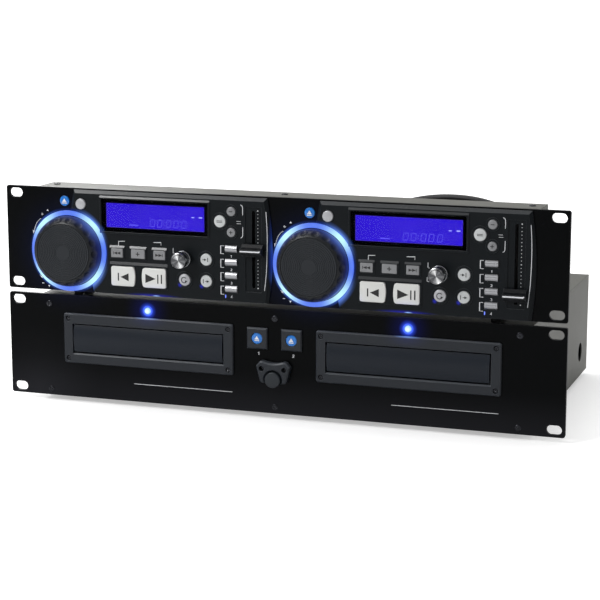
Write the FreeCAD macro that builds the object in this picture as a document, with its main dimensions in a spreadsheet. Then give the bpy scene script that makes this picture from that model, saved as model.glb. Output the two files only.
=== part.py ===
import FreeCAD, Part
import Sketcher
import math
import os
import re

# Twin disc player for a nineteen inch rack: a player with two disc trays, and a slim
# control unit with two identical decks that stands on it.
# Axes: X to the right, Y into the object, Z up. Origin on the table, under the middle of
# the bounding box. Heights in front of a panel are counted from its front face, towards -Y.

SIZES = {
    # rack panels
    "panel_width": 482.6, "panel_height": 88.1, "panel_thick": 3.0, "panel_corner": 2.0,
    "rack_spacing_x": 465.12, "rack_spacing_z": 76.2, "rack_slot_length": 12.3,
    "rack_slot_width": 7.7,
    # cases
    "foot_height": 5.2, "foot_dia": 13.0, "panel_drop": 0.5, "sheet_thick": 1.0,
    "case_width": 426.0, "case_height": 86.6, "case_depth": 247.0,
    "control_width": 431.0, "control_depth": 39.5, "seam": 0.15,
    "side_hole_dia": 17.0, "side_hole_back": 34.0, "side_hole_up": 22.0,
    "foot_side_inset": 34.0, "foot_front_back": 30.0, "foot_rear_inset": 24.0,
    "control_foot_dia": 8.0, "control_foot_back": 12.0, "control_foot_pitch": 19.0,
    # screws
    "screw_head_dia": 5.6, "screw_head_height": 0.9, "screw_shank_dia": 3.0,
    "screw_clearance": 0.2, "screw_length": 6.0,
    "plate_screw_x": 203.8, "plate_screw_low": 5.2, "plate_screw_high": 79.8,
    "top_screw_x": 206.0, "top_screw_back": 25.0, "flange_depth": 11.0,
    # decks
    "deck_left": -183.9, "deck_pitch": 217.2, "ring_up": 34.5,
    "ring_dia": 68.6, "ring_bore": 60.8, "ring_height": 1.5,
    "wheel_dia": 59.8, "wheel_gap": 0.6, "wheel_height": 12.4, "wheel_edge": 3.2,
    "pad_dia": 47.0, "pad_step": 0.7, "pad_moat": 0.8, "pad_flat_dia": 13.5, "shoulder_swell": 0.9,
    "dimple_count": 18, "dimple_circle": 68.2, "dimple_ball_dia": 16.1, "dimple_lift": 12.8,
    "wheel_shaft_dia": 8.0, "running_fit": 0.05, "bush_wall": 2.0, "shaft_reach": 9.2,
    "wheel_rim": 2.6, "wheel_boss_dia": 15.0, "wheel_web": 3.0,
    # deck fascia
    "fascia_height": 4.0, "fascia_skin": 2.4, "fascia_bevel": 2.6, "fascia_rim": 3.2,
    "fascia_top": 87.0, "fascia_foot": 1.0, "fascia_left_top": 6.0, "fascia_left_low": 22.5,
    "fascia_toe": 21.5, "fascia_neck": 2.7, "fascia_right_top": 178.2,
    "fascia_right_low": 179.4, "fascia_bulge_radius": 265.0, "ring_clearance": 0.7,
    "cut_left": 38.0, "cut_right": 174.0, "cut_low": 6.0, "cut_high": 81.5,
    # display
    "window_x": 79.8, "window_up": 67.1, "window_width": 95.4, "window_height": 27.6,
    "window_recess": 1.3, "window_thick": 0.9, "window_fit": 0.2,
    "glass_width": 88.0, "glass_height": 20.4, "frame_rib": 1.3, "frame_proud": 0.9,
    "frame_crest": 0.8, "frame_slope": 1.7,
    # keys
    "key_fit": 0.25, "key_flange": 0.8, "key_flange_lip": 1.0, "key_back_gap": 0.3,
    "key_travel": 1.0, "key_stem_dia": 4.0, "key_edge": 0.5,
    "search_height": 7.5, "search_width": 10.6, "skip_width": 12.4, "search_up": 35.8,
    "search_left": 46.0, "search_mid": 65.0, "search_right": 84.2, "search_proud": 1.2,
    "main_width": 20.6, "main_height": 16.6, "main_bulge": 1.2, "main_up": 16.4,
    "cue_x": 51.0, "play_x": 79.9, "main_proud": 2.2, "main_corner": 1.6,
    "key_frame_wall": 1.3, "key_frame_proud": 0.8, "search_frame_crest": 0.6,
    "search_frame_slope": 2.0, "main_frame_crest": 1.4, "main_frame_slope": 2.4,
    "round_dia": 10.0, "round_proud": 1.6, "collar_dia": 14.2, "collar_proud": 0.7,
    "collar_wall": 1.3, "loop_x": 125.8, "loop_in_up": 34.5, "loop_out_up": 16.5,
    "reloop_x": 106.5, "pitch_key_x": 138.1, "pitch_key_up": 66.8,
    "bend_dia": 7.5, "bend_x": 148.0, "bend_spread": 17.2, "bend_collar_dia": 11.0,
    "browse_dia": 9.0, "browse_x": 13.4, "browse_up": 75.4,
    "eject_dia": 8.6, "eject_x": -3.1, "eject_up": 76.8, "eject_proud": 1.2,
    "mode_width": 10.6, "mode_height": 5.9, "mode_x": 147.8, "mode_low": 11.2,
    "mode_pitch": 11.1, "mode_proud": 1.7,
    # track knob
    "knob_dia": 13.3, "knob_gap": 0.5, "knob_length": 13.5, "knob_x": 106.5,
    "knob_up": 34.5, "knob_shaft_dia": 6.0, "knob_bush_lift": 0.2, "knob_skirt_dia": 14.0,
    "knob_skirt_length": 4.6, "knob_waist_dia": 12.3, "knob_waist_length": 0.9,
    "knob_edge": 0.5,
    # pitch fader
    "fader_x": 167.0, "fader_up": 44.6, "fader_end_gap": 1.0, "fader_slot_width": 3.0,
    "fader_travel": 58.0, "fader_recess_width": 14.2, "fader_recess_length": 70.0,
    "fader_recess_depth": 0.9, "fader_cap_width": 18.0, "fader_cap_height": 10.4,
    "fader_cap_base": 5.0, "fader_cap_front": 12.5, "fader_blade_width": 1.4,
    "fader_blade_height": 4.0, "fader_rest_first": -0.3, "fader_rest_second": -24.0,
    "fader_body_depth": 6.5, "fader_body_width": 9.0, "fader_groove_depth": 3.0,
    "fader_reach": 5.0, "fader_cap_ridge": 3.0,
    "fader_cap_lip": 1.2, "fader_cap_hollow": 0.6,
    # boards
    "board_back": 10.0, "board_thick": 1.6, "switch_size": 6.0, "switch_height": 2.6,
    "board_half": 206.0, "board_low": 7.0, "board_high": 81.0, "post_dia": 6.0,
    "post_left": -200.0, "post_middle": -2.0, "post_right": 63.0,
    # player front
    "tray_x": 112.9, "tray_up": 51.4, "bezel_width": 153.8, "bezel_height": 43.2,
    "bezel_height_proud": 2.5, "bezel_corner": 2.2, "bezel_bevel": 1.0,
    "mouth_width": 137.4, "mouth_height": 25.7, "flap_gap": 1.2, "flap_edge": 1.2,
    "flap_bulge": 1.9, "flap_back": 1.5, "plate_mouth_extra": 1.0,
    "bezel_screw_x": 72.6, "bezel_screw_z": 17.1, "bezel_screw_well_dia": 4.6,
    "bezel_screw_seat": 1.0, "lamp_up": 79.0, "lamp_dia": 5.0, "lamp_proud": 1.4,
    "lamp_collar": 0.8,
    "tray_key_x": 14.9, "tray_key_up": 62.8, "tray_key_dia": 9.4, "tray_key_proud": 2.4,
    "surround_size": 17.8, "surround_height": 2.6, "surround_bevel": 1.1, "player_board_low": 18.0,
    "player_board_high": 76.0, "player_board_width": 64.0,
    "power_up": 29.6, "power_dia": 13.2, "power_proud": 7.6, "power_travel": 2.6,
    "guard_height": 6.0, "guard_half": 14.8, "guard_top": 44.8, "guard_dip": 1.6,
    "guard_brow": 11.2, "guard_dip_half": 8.8, "guard_low": 26.6, "guard_shoulder": 4.4, "guard_toe_out": 11.2,
    "guard_toe_in": 7.2, "guard_corner": 2.2, "guard_bevel": 1.1,
    "guard_fit": 0.9, "guard_screw_x": 9.8, "guard_screw_up": 38.6, "guard_seat": 2.0,
    # disc tray and loader
    "tray_width": 130.0, "tray_length": 148.0, "tray_low": 42.5, "tray_thick": 8.0,
    "disc_dia": 121.0, "disc_well": 2.6, "small_disc_dia": 81.0,
    "small_disc_well": 1.0, "disc_back": 73.0, "spindle_slot": 34.0, "tray_fit": 0.3,
    "loader_wall": 2.0, "loader_side": 1.0, "loader_depth": 172.0, "loader_low": 24.0, "loader_high": 68.0,
    "rail_width": 4.0, "rail_thick": 3.0, "hub_dia": 28.0, "hub_gap": 1.2,
    "leg_size": 10.0, "clamp_dia": 30.0, "clamp_drop": 2.0, "main_board_back": 188.0,
    "main_board_depth": 52.0, "main_board_width": 330.0, "board_stand": 8.0,
    # rear
    "jack_reach": 8.0, "socket_reach": 4.0, "link_socket_x": 207.3, "link_socket_up": 30.0,
    "link_socket_dia": 10.0, "link_stub_dia": 6.0, "jack_x": -120.0, "jack_pitch": 18.0, "jack_up": 30.0,
    "jack_dia": 9.0, "inlet_x": 150.0, "inlet_up": 56.0, "inlet_width": 28.0,
    "inlet_height": 20.0, "inlet_depth": 18.0, "inlet_wall": 2.0, "inlet_flange": 3.0,
    # link lead
    "lead_dia": 5.6, "plug_dia": 13.0, "plug_length": 20.0, "plug_neck_dia": 8.4,
    "plug_neck_length": 8.0, "lead_out_x": 30.0, "lead_out_up": 140.0,
    "lead_in_x": 96.0, "lead_in_up": 28.0, "lead_socket_dia": 15.0,
    "lead_socket_proud": 2.0, "lead_socket_depth": 8.0,
}

FACE = "((fascia_height + knob_gap + knob_length - case_depth - jack_reach) / 2)"
PLAYER_SILL = "(foot_height - panel_drop)"
CONTROL_SILL = "(2 * foot_height + case_height - panel_drop)"
PLAYER_FLOOR = "foot_height"
CONTROL_FLOOR = "(2 * foot_height + case_height)"
SKIN_BACK = "(fascia_height - fascia_skin)"
NORMAL_KEY_BACK = "(fascia_height - fascia_skin - key_back_gap - key_flange)"

JACKS = 4
STEM_REACH = "(board_back - switch_height - key_travel - key_back_gap)"
POWER_REACH = "(board_back - switch_height - power_travel - key_back_gap)"
DISPLAY_WIDTH = "(glass_width + 2 * sheet_thick)"
DISPLAY_HEIGHT = "(glass_height + 2 * sheet_thick)"
FADER_SLOT = "(fader_travel + fader_blade_height + 2 * fader_end_gap)"
PLATE_KEY_FRONT = "(panel_thick + key_back_gap)"
LOADER_FRONT = "(panel_thick + 2 * sheet_thick)"
LOADER_INNER = "(tray_width + 2 * loader_side)"

doc = FreeCAD.newDocument("twin_disc_player")
sheet = doc.addObject("Spreadsheet::Sheet", "sizes")
finished = []


def fill_sheet():
    for row, (alias, number) in enumerate(SIZES.items(), start=1):
        cell = "A%d" % row
        sheet.set(cell, str(number))
        sheet.setAlias(cell, alias)
    doc.recompute()


def bound(text):
    """Write each size's name in an expression as a cell of the sheet."""
    return re.sub(r"[a-z][a-z_]+[a-z]",
                  lambda word: "sizes." + word.group() if word.group() in SIZES else word.group(),
                  text)


def value(text):
    return float(sheet.evalExpression(bound(text)))


def bind(thing, path, text):
    thing.setExpression(path, bound(text))


def place(thing, x, y, z):
    for axis, text in (("x", x), ("y", y), ("z", z)):
        bind(thing, "Placement.Base." + axis, text)


def finish(thing, label):
    thing.Label = label
    finished.append(thing)
    return thing


# ---- sketches and features of a body ----

def new_body(name):
    return doc.addObject("PartDesign::Body", name)


def origin_plane(body, role):
    return next(item for item in body.Origin.OriginFeatures if item.Role == role)


def sketch_on(body, name, lift="0", x="0", z="0", role="XZ_Plane"):
    sketch = body.newObject("Sketcher::SketchObject", name)
    sketch.AttachmentSupport = (origin_plane(body, role), "")
    sketch.MapMode = "FlatFace"
    bind(sketch, "AttachmentOffset.Base.x", x)
    bind(sketch, "AttachmentOffset.Base.y", z)
    bind(sketch, "AttachmentOffset.Base.z", lift)
    return sketch


def limit(sketch, name, kind, *arguments):
    """Add a named constraint whose last argument is an expression."""
    number = sketch.addConstraint(Sketcher.Constraint(kind, *arguments[:-1], value(arguments[-1])))
    sketch.renameConstraint(number, name)
    bind(sketch, "Constraints." + name, arguments[-1])


def draw_circle(sketch, name, diameter):
    centre = FreeCAD.Vector(0, 0, 0)
    edge = sketch.addGeometry(
        Part.Circle(centre, FreeCAD.Vector(0, 0, 1), value(diameter) / 2), False)
    sketch.addConstraint(Sketcher.Constraint("Coincident", edge, 3, -1, 1))
    limit(sketch, name, "Diameter", edge, diameter)


def draw_lines(sketch, corners):
    """Add straight edges through the given points, joined end to end and closed."""
    first = None
    for start, end in zip(corners, corners[1:] + corners[:1]):
        line = sketch.addGeometry(Part.LineSegment(
            FreeCAD.Vector(start[0], start[1], 0), FreeCAD.Vector(end[0], end[1], 0)), False)
        if first is None:
            first = line
        else:
            sketch.addConstraint(Sketcher.Constraint("Coincident", line - 1, 2, line, 1))
    sketch.addConstraint(Sketcher.Constraint("Coincident", line, 2, first, 1))
    return first


def draw_rectangle(sketch, width, height):
    half_w, half_h = value(width) / 2, value(height) / 2
    edge = draw_lines(sketch, [(-half_w, -half_h), (half_w, -half_h),
                               (half_w, half_h), (-half_w, half_h)])
    for side, kind in enumerate(("Horizontal", "Vertical", "Horizontal", "Vertical")):
        sketch.addConstraint(Sketcher.Constraint(kind, edge + side))
    sketch.addConstraint(Sketcher.Constraint("Symmetric", edge, 1, edge + 2, 1, -1, 1))
    limit(sketch, "width", "DistanceX", edge, 1, edge, 2, width)
    limit(sketch, "height", "DistanceY", edge + 1, 1, edge + 1, 2, height)


def draw_outline(sketch, corners):
    """A closed outline of straight edges, each corner tied to a pair of expressions."""
    edge = draw_lines(sketch, [(value(x), value(z)) for x, z in corners])
    for index, (x, z) in enumerate(corners):
        limit(sketch, "x%d" % index, "DistanceX", -1, 1, edge + index, 1, x)
        limit(sketch, "z%d" % index, "DistanceY", -1, 1, edge + index, 1, z)
    return edge


def draw_slot(sketch, length, width, upright=False):
    """A round-ended slot about the sketch's origin."""
    half, radius = (value(length) - value(width)) / 2, value(width) / 2
    turn = math.pi / 2 if upright else 0.0

    def point(x, z):
        return FreeCAD.Vector(x * math.cos(turn) - z * math.sin(turn),
                              x * math.sin(turn) + z * math.cos(turn), 0)

    axis = FreeCAD.Vector(0, 0, 1)
    right = sketch.addGeometry(Part.ArcOfCircle(
        Part.Circle(point(half, 0), axis, radius), turn - math.pi / 2, turn + math.pi / 2), False)
    top = sketch.addGeometry(Part.LineSegment(point(half, radius), point(-half, radius)), False)
    left = sketch.addGeometry(Part.ArcOfCircle(
        Part.Circle(point(-half, 0), axis, radius), turn + math.pi / 2, turn + 3 * math.pi / 2),
        False)
    low = sketch.addGeometry(Part.LineSegment(point(-half, -radius), point(half, -radius)), False)
    for before, after in ((right, top), (top, left), (left, low), (low, right)):
        sketch.addConstraint(Sketcher.Constraint("Tangent", before, 2, after, 1))
    sketch.addConstraint(Sketcher.Constraint("Vertical" if upright else "Horizontal", top))
    sketch.addConstraint(Sketcher.Constraint("Symmetric", right, 3, left, 3, -1, 1))
    limit(sketch, "width", "Radius", right, "(%s) / 2" % width)
    if upright:
        limit(sketch, "span", "DistanceY", left, 3, right, 3, "(%s) - (%s)" % (length, width))
    else:
        limit(sketch, "span", "DistanceX", left, 3, right, 3, "(%s) - (%s)" % (length, width))


def pad(body, sketch, length, name="pad"):
    feature = body.newObject("PartDesign::Pad", name)
    feature.Profile = sketch
    bind(feature, "Length", length)
    return feature


def pocket(body, sketch, length, name="pocket"):
    feature = body.newObject("PartDesign::Pocket", name)
    feature.Profile = sketch
    bind(feature, "Length", length)
    return feature


def chamfer(body, feature, edges, size, name="bevel"):
    doc.recompute()
    cut = body.newObject("PartDesign::Chamfer", name)
    cut.Base = (feature, edges)
    bind(cut, "Size", size)
    return cut


def fillet(body, feature, edges, radius, name="round_edge"):
    doc.recompute()
    rounding = body.newObject("PartDesign::Fillet", name)
    rounding.Base = (feature, edges)
    bind(rounding, "Radius", radius)
    return rounding


def edges_where(feature, test):
    doc.recompute()
    return ["Edge%d" % (number + 1) for number, edge in enumerate(feature.Shape.Edges)
            if test(edge)]


def front_edges(feature, lift):
    """The edges that lie wholly at one height in front of the panel."""
    level = -value(lift)
    return edges_where(feature, lambda edge: abs(edge.BoundBox.YMin - level) < 0.01
                       and abs(edge.BoundBox.YMax - level) < 0.01)


def padded_circle(body, name, diameter, lift, length, x="0", z="0"):
    sketch = sketch_on(body, name + "_sketch", lift, x, z)
    draw_circle(sketch, "diameter", diameter)
    return pad(body, sketch, length, name)


def padded_rectangle(body, name, width, height, lift, length, x="0", z="0"):
    sketch = sketch_on(body, name + "_sketch", lift, x, z)
    draw_rectangle(sketch, width, height)
    return pad(body, sketch, length, name)


def cut_circle(body, name, diameter, lift, length, x="0", z="0"):
    sketch = sketch_on(body, name + "_sketch", lift, x, z)
    draw_circle(sketch, "diameter", diameter)
    return pocket(body, sketch, length, name)


def cut_rectangle(body, name, width, height, lift, length, x="0", z="0"):
    sketch = sketch_on(body, name + "_sketch", lift, x, z)
    draw_rectangle(sketch, width, height)
    return pocket(body, sketch, length, name)


# ---- plain solids along the axes ----

def block(name, x, z, width, height, front, back):
    """A box centred on x and z that runs from front to back, counted from the panel face."""
    solid = doc.addObject("Part::Box", name)
    bind(solid, "Length", width)
    bind(solid, "Height", height)
    bind(solid, "Width", "(%s) - (%s)" % (back, front))
    place(solid, "(%s) - (%s) / 2" % (x, width), "%s + (%s)" % (FACE, front),
          "(%s) - (%s) / 2" % (z, height))
    return solid


def rod(name, x, z, diameter, front, back):
    """A cylinder along Y that runs from front to back, counted from the panel face."""
    solid = doc.addObject("Part::Cylinder", name)
    bind(solid, "Radius", "(%s) / 2" % diameter)
    bind(solid, "Height", "(%s) - (%s)" % (back, front))
    solid.Placement = FreeCAD.Placement(FreeCAD.Vector(), FreeCAD.Rotation(
        FreeCAD.Vector(1, 0, 0), -90))
    place(solid, x, "%s + (%s)" % (FACE, front), z)
    return solid


def post(name, x, back, diameter, low, high):
    """An upright cylinder that runs from low to high."""
    solid = doc.addObject("Part::Cylinder", name)
    bind(solid, "Radius", "(%s) / 2" % diameter)
    bind(solid, "Height", "(%s) - (%s)" % (high, low))
    place(solid, x, "%s + (%s)" % (FACE, back), low)
    return solid


def fused(name, solids):
    union = doc.addObject("Part::MultiFuse", name)
    union.Shapes = solids
    return union


def cut_away(name, base, tool):
    remainder = doc.addObject("Part::Cut", name)
    remainder.Base = base
    remainder.Tool = tool
    return remainder


def grouped(name, solids):
    group = doc.addObject("Part::Compound", name)
    group.Links = solids
    return group


# ---- places of the decks and their keys ----

def deck_x(deck):
    return "(deck_left + %d * deck_pitch)" % (deck - 1)


def on_deck(thing, deck, x="0", up="0"):
    place(thing, "%s + (%s)" % (deck_x(deck), x), FACE, "%s + (%s)" % (CONTROL_SILL, up))


ROUND_KEYS = {
    "loop_in_key": ("loop_x", "loop_in_up", "round_dia"),
    "loop_out_key": ("loop_x", "loop_out_up", "round_dia"),
    "reloop_key": ("reloop_x", "loop_out_up", "round_dia"),
    "pitch_key": ("pitch_key_x", "pitch_key_up", "round_dia"),
    "bend_down_key": ("bend_x", "pitch_key_up + bend_spread / 2", "bend_dia"),
    "bend_up_key": ("bend_x", "pitch_key_up - bend_spread / 2", "bend_dia"),
    "browse_key": ("browse_x", "browse_up", "browse_dia"),
}
COLLARS = {
    "loop_in_key": "collar_dia", "loop_out_key": "collar_dia", "reloop_key": "collar_dia",
    "pitch_key": "collar_dia", "bend_down_key": "bend_collar_dia",
    "bend_up_key": "bend_collar_dia",
}
BLOCK_KEYS = {
    "search_back_key": ("search_left", "search_up", "search_width", "search_height",
                        "search_proud"),
    "skip_ten_key": ("search_mid", "search_up", "skip_width", "search_height",
                     "search_proud"),
    "search_forward_key": ("search_right", "search_up", "search_width", "search_height",
                           "search_proud"),
    "mode_key_a": ("mode_x", "mode_low + 3 * mode_pitch", "mode_width", "mode_height",
                   "mode_proud"),
    "mode_key_b": ("mode_x", "mode_low + 2 * mode_pitch", "mode_width", "mode_height",
                   "mode_proud"),
    "mode_key_c": ("mode_x", "mode_low + mode_pitch", "mode_width", "mode_height",
                   "mode_proud"),
    "mode_key_d": ("mode_x", "mode_low", "mode_width", "mode_height", "mode_proud"),
}
MAIN_KEYS = {"cue_key": ("cue_x", 1), "play_key": ("play_x", -1)}


def draw_main_key(sketch, side, grow):
    """The outline of a large key, one side of which swells outwards."""
    half_w = value("main_width / 2") + value(grow)
    half_h = value("main_height / 2") + value(grow)
    swell = value("main_bulge")
    radius = (half_h ** 2 + swell ** 2) / (2 * swell)
    angle = math.asin(half_h / radius)
    centre = side * (half_w + swell - radius)
    inner = -side * half_w
    outer = side * half_w
    low, high = (outer, -half_h), (outer, half_h)
    start, end = (low, high) if side > 0 else (high, low)
    middle_turn = 0.0 if side > 0 else math.pi
    arc = sketch.addGeometry(Part.ArcOfCircle(
        Part.Circle(FreeCAD.Vector(centre, 0, 0), FreeCAD.Vector(0, 0, 1), radius),
        middle_turn - angle, middle_turn + angle), False)
    far_end = (inner, end[1])
    far_start = (inner, start[1])
    corners = [end, far_end, far_start, start]
    lines = [sketch.addGeometry(Part.LineSegment(
        FreeCAD.Vector(a[0], a[1], 0), FreeCAD.Vector(b[0], b[1], 0)), False)
        for a, b in zip(corners, corners[1:])]
    joints = [(arc, 2, lines[0], 1), (lines[0], 2, lines[1], 1),
              (lines[1], 2, lines[2], 1), (lines[2], 2, arc, 1)]
    for joint in joints:
        sketch.addConstraint(Sketcher.Constraint("Coincident", *joint))
    sketch.addConstraint(Sketcher.Constraint("Horizontal", lines[0]))
    sketch.addConstraint(Sketcher.Constraint("Vertical", lines[1]))
    sketch.addConstraint(Sketcher.Constraint("Horizontal", lines[2]))
    half_width = "(main_width / 2 + (%s))" % grow
    half_height = "(main_height / 2 + (%s))" % grow
    sign = "" if side > 0 else "-"
    back = "-" if side > 0 else ""
    limit(sketch, "swell_x", "DistanceX", -1, 1, arc, 1, sign + half_width)
    limit(sketch, "swell_z", "DistanceY", -1, 1, arc, 1, back + half_height)
    limit(sketch, "end_x", "DistanceX", -1, 1, arc, 2, sign + half_width)
    limit(sketch, "end_z", "DistanceY", -1, 1, arc, 2, sign + half_height)
    limit(sketch, "far_x", "DistanceX", -1, 1, lines[1], 1, back + half_width)
    limit(sketch, "radius", "Radius", arc,
          "(%s ^ 2 + main_bulge ^ 2) / (2 * main_bulge)" % half_height)


def main_key_sketch(body, name, side, grow, lift, x="0", z="0"):
    sketch = sketch_on(body, name, lift, x, z)
    draw_main_key(sketch, side, grow)
    return sketch


# ---- rack panels ----

def rack_plate(name, sill):
    """A plate with rounded corners and four mounting slots, its origin at its middle."""
    body = new_body(name)
    place(body, "0", FACE, "%s + panel_height / 2" % sill)
    sheet_pad = padded_rectangle(body, name + "_plate", "panel_width", "panel_height",
                                 "-panel_thick", "panel_thick")
    corners = edges_where(sheet_pad, lambda edge: edge.BoundBox.YLength > 1)
    fillet(body, sheet_pad, corners, "panel_corner")
    for side in (-1, 1):
        for level in (-1, 1):
            slot = sketch_on(body, "%s_slot_%s%s" % (name, "lr"[side > 0], "bt"[level > 0]),
                             "0", "%d * rack_spacing_x / 2" % side,
                             "%d * rack_spacing_z / 2" % level)
            draw_slot(slot, "rack_slot_length", "rack_slot_width")
            pocket(body, slot, "panel_thick", slot.Name + "_cut")
    return body


def cut_in_plate(body, name, x, up, diameter):
    cut_circle(body, name, diameter, "0", "panel_thick", x,
               "(%s) - panel_height / 2" % up)


def control_front_plate():
    body = rack_plate("control_front_plate", CONTROL_SILL)
    for deck in (1, 2):
        left = deck_x(deck)
        cut_rectangle(body, "deck_cut_%d" % deck, "cut_right - cut_left",
                      "cut_high - cut_low", "0", "panel_thick",
                      "%s + (cut_left + cut_right) / 2" % left,
                      "(cut_low + cut_high - panel_height) / 2")
        cut_rectangle(body, "display_cut_%d" % deck, DISPLAY_WIDTH + " + 2 * sheet_thick",
                      DISPLAY_HEIGHT + " + 2 * sheet_thick", "0", "panel_thick",
                      "%s + window_x" % left, "window_up - panel_height / 2")
        cut_in_plate(body, "bush_hole_%d" % deck, left, "ring_up",
                     "wheel_shaft_dia + 2 * bush_wall + 2 * running_fit + screw_clearance")
        cut_in_plate(body, "browse_hole_%d" % deck, "%s + browse_x" % left, "browse_up",
                     "browse_dia + 2 * key_flange_lip + 4 * key_fit")
        cut_in_plate(body, "eject_hole_%d" % deck, "%s + eject_x" % left, "eject_up",
                     "eject_dia + 2 * key_fit")
    return finish(body, "control_front_plate")


def player_front_plate():
    body = rack_plate("player_front_plate", PLAYER_SILL)
    for side in (-1, 1):
        name = "lr"[side > 0]
        cut_rectangle(body, "mouth_" + name, "mouth_width + 2 * plate_mouth_extra",
                      "mouth_height + 2 * plate_mouth_extra", "0", "panel_thick",
                      "%d * tray_x" % side, "tray_up - panel_height / 2")
        cut_in_plate(body, "lamp_hole_" + name, "%d * tray_x" % side, "lamp_up",
                     "lamp_dia + 2 * key_fit")
        cut_in_plate(body, "tray_key_hole_" + name, "%d * tray_key_x" % side, "tray_key_up",
                     "tray_key_dia + 2 * key_fit")
    cut_in_plate(body, "power_hole", "0", "power_up", "power_dia + 2 * key_fit")
    for name, x, up in player_plate_screws():
        cut_in_plate(body, "hole_" + name, x, up, "screw_shank_dia + screw_clearance")
    for name, x, up in bezel_screws() + guard_screws():
        cut_in_plate(body, "hole_" + name, x, up, "screw_shank_dia + screw_clearance")
    return finish(body, "player_front_plate")


# ---- places of the screws ----

def player_plate_screws():
    return [("plate_%s_%d" % (level, side + 1), "%d * plate_screw_x" % side,
             "plate_screw_" + level)
            for side in (-1, 0, 1) for level in ("low", "high")]


def bezel_screws():
    return [("bezel_%d%d%d" % (tray + 1, side + 1, level + 1),
             "%d * tray_x + %d * bezel_screw_x" % (tray, side),
             "tray_up + %d * bezel_screw_z" % level)
            for tray in (-1, 1) for side in (-1, 1) for level in (-1, 1)]


def guard_screws():
    return [("guard_%d" % (side + 1), "%d * guard_screw_x" % side, "guard_screw_up")
            for side in (-1, 1)]


def case_screws():
    solids = []
    for name, x, up in player_plate_screws():
        solids += front_screw(name, x, up, "0")
    for name, x, up in bezel_screws():
        solids += front_screw(name, x, up, "bezel_screw_seat")
    for name, x, up in guard_screws():
        solids += front_screw(name, x, up, "guard_seat")
    for side in (-1, 0, 1):
        solids.append(top_screw("top_%d" % (side + 1), "%d * top_screw_x" % side))
    return finish(grouped("case_screws", solids), "case_screws")


def front_screw(name, x, up, seat):
    """A pan head on the given seat in front of the player's panel, and its shank."""
    level = "%s + (%s)" % (PLAYER_SILL, up)
    head_dia = "screw_head_dia" if seat == "0" else "bezel_screw_well_dia - screw_clearance"
    head = rod("head_" + name, x, level, head_dia,
               "-(%s) - screw_head_height" % seat, "-(%s)" % seat)
    shank = rod("shank_" + name, x, level, "screw_shank_dia", "-(%s)" % seat,
                "screw_length")
    return [fused("screw_" + name, [head, shank])]


def top_screw(name, x):
    roof = "(%s + case_height)" % CONTROL_FLOOR
    head = post("head_" + name, x, "top_screw_back", "screw_head_dia", roof,
                "%s + screw_head_height" % roof)
    shank = post("shank_" + name, x, "top_screw_back", "screw_shank_dia",
                 "%s - screw_length" % roof, roof)
    return fused("screw_" + name, [head, shank])


# ---- deck fascia ----

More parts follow.
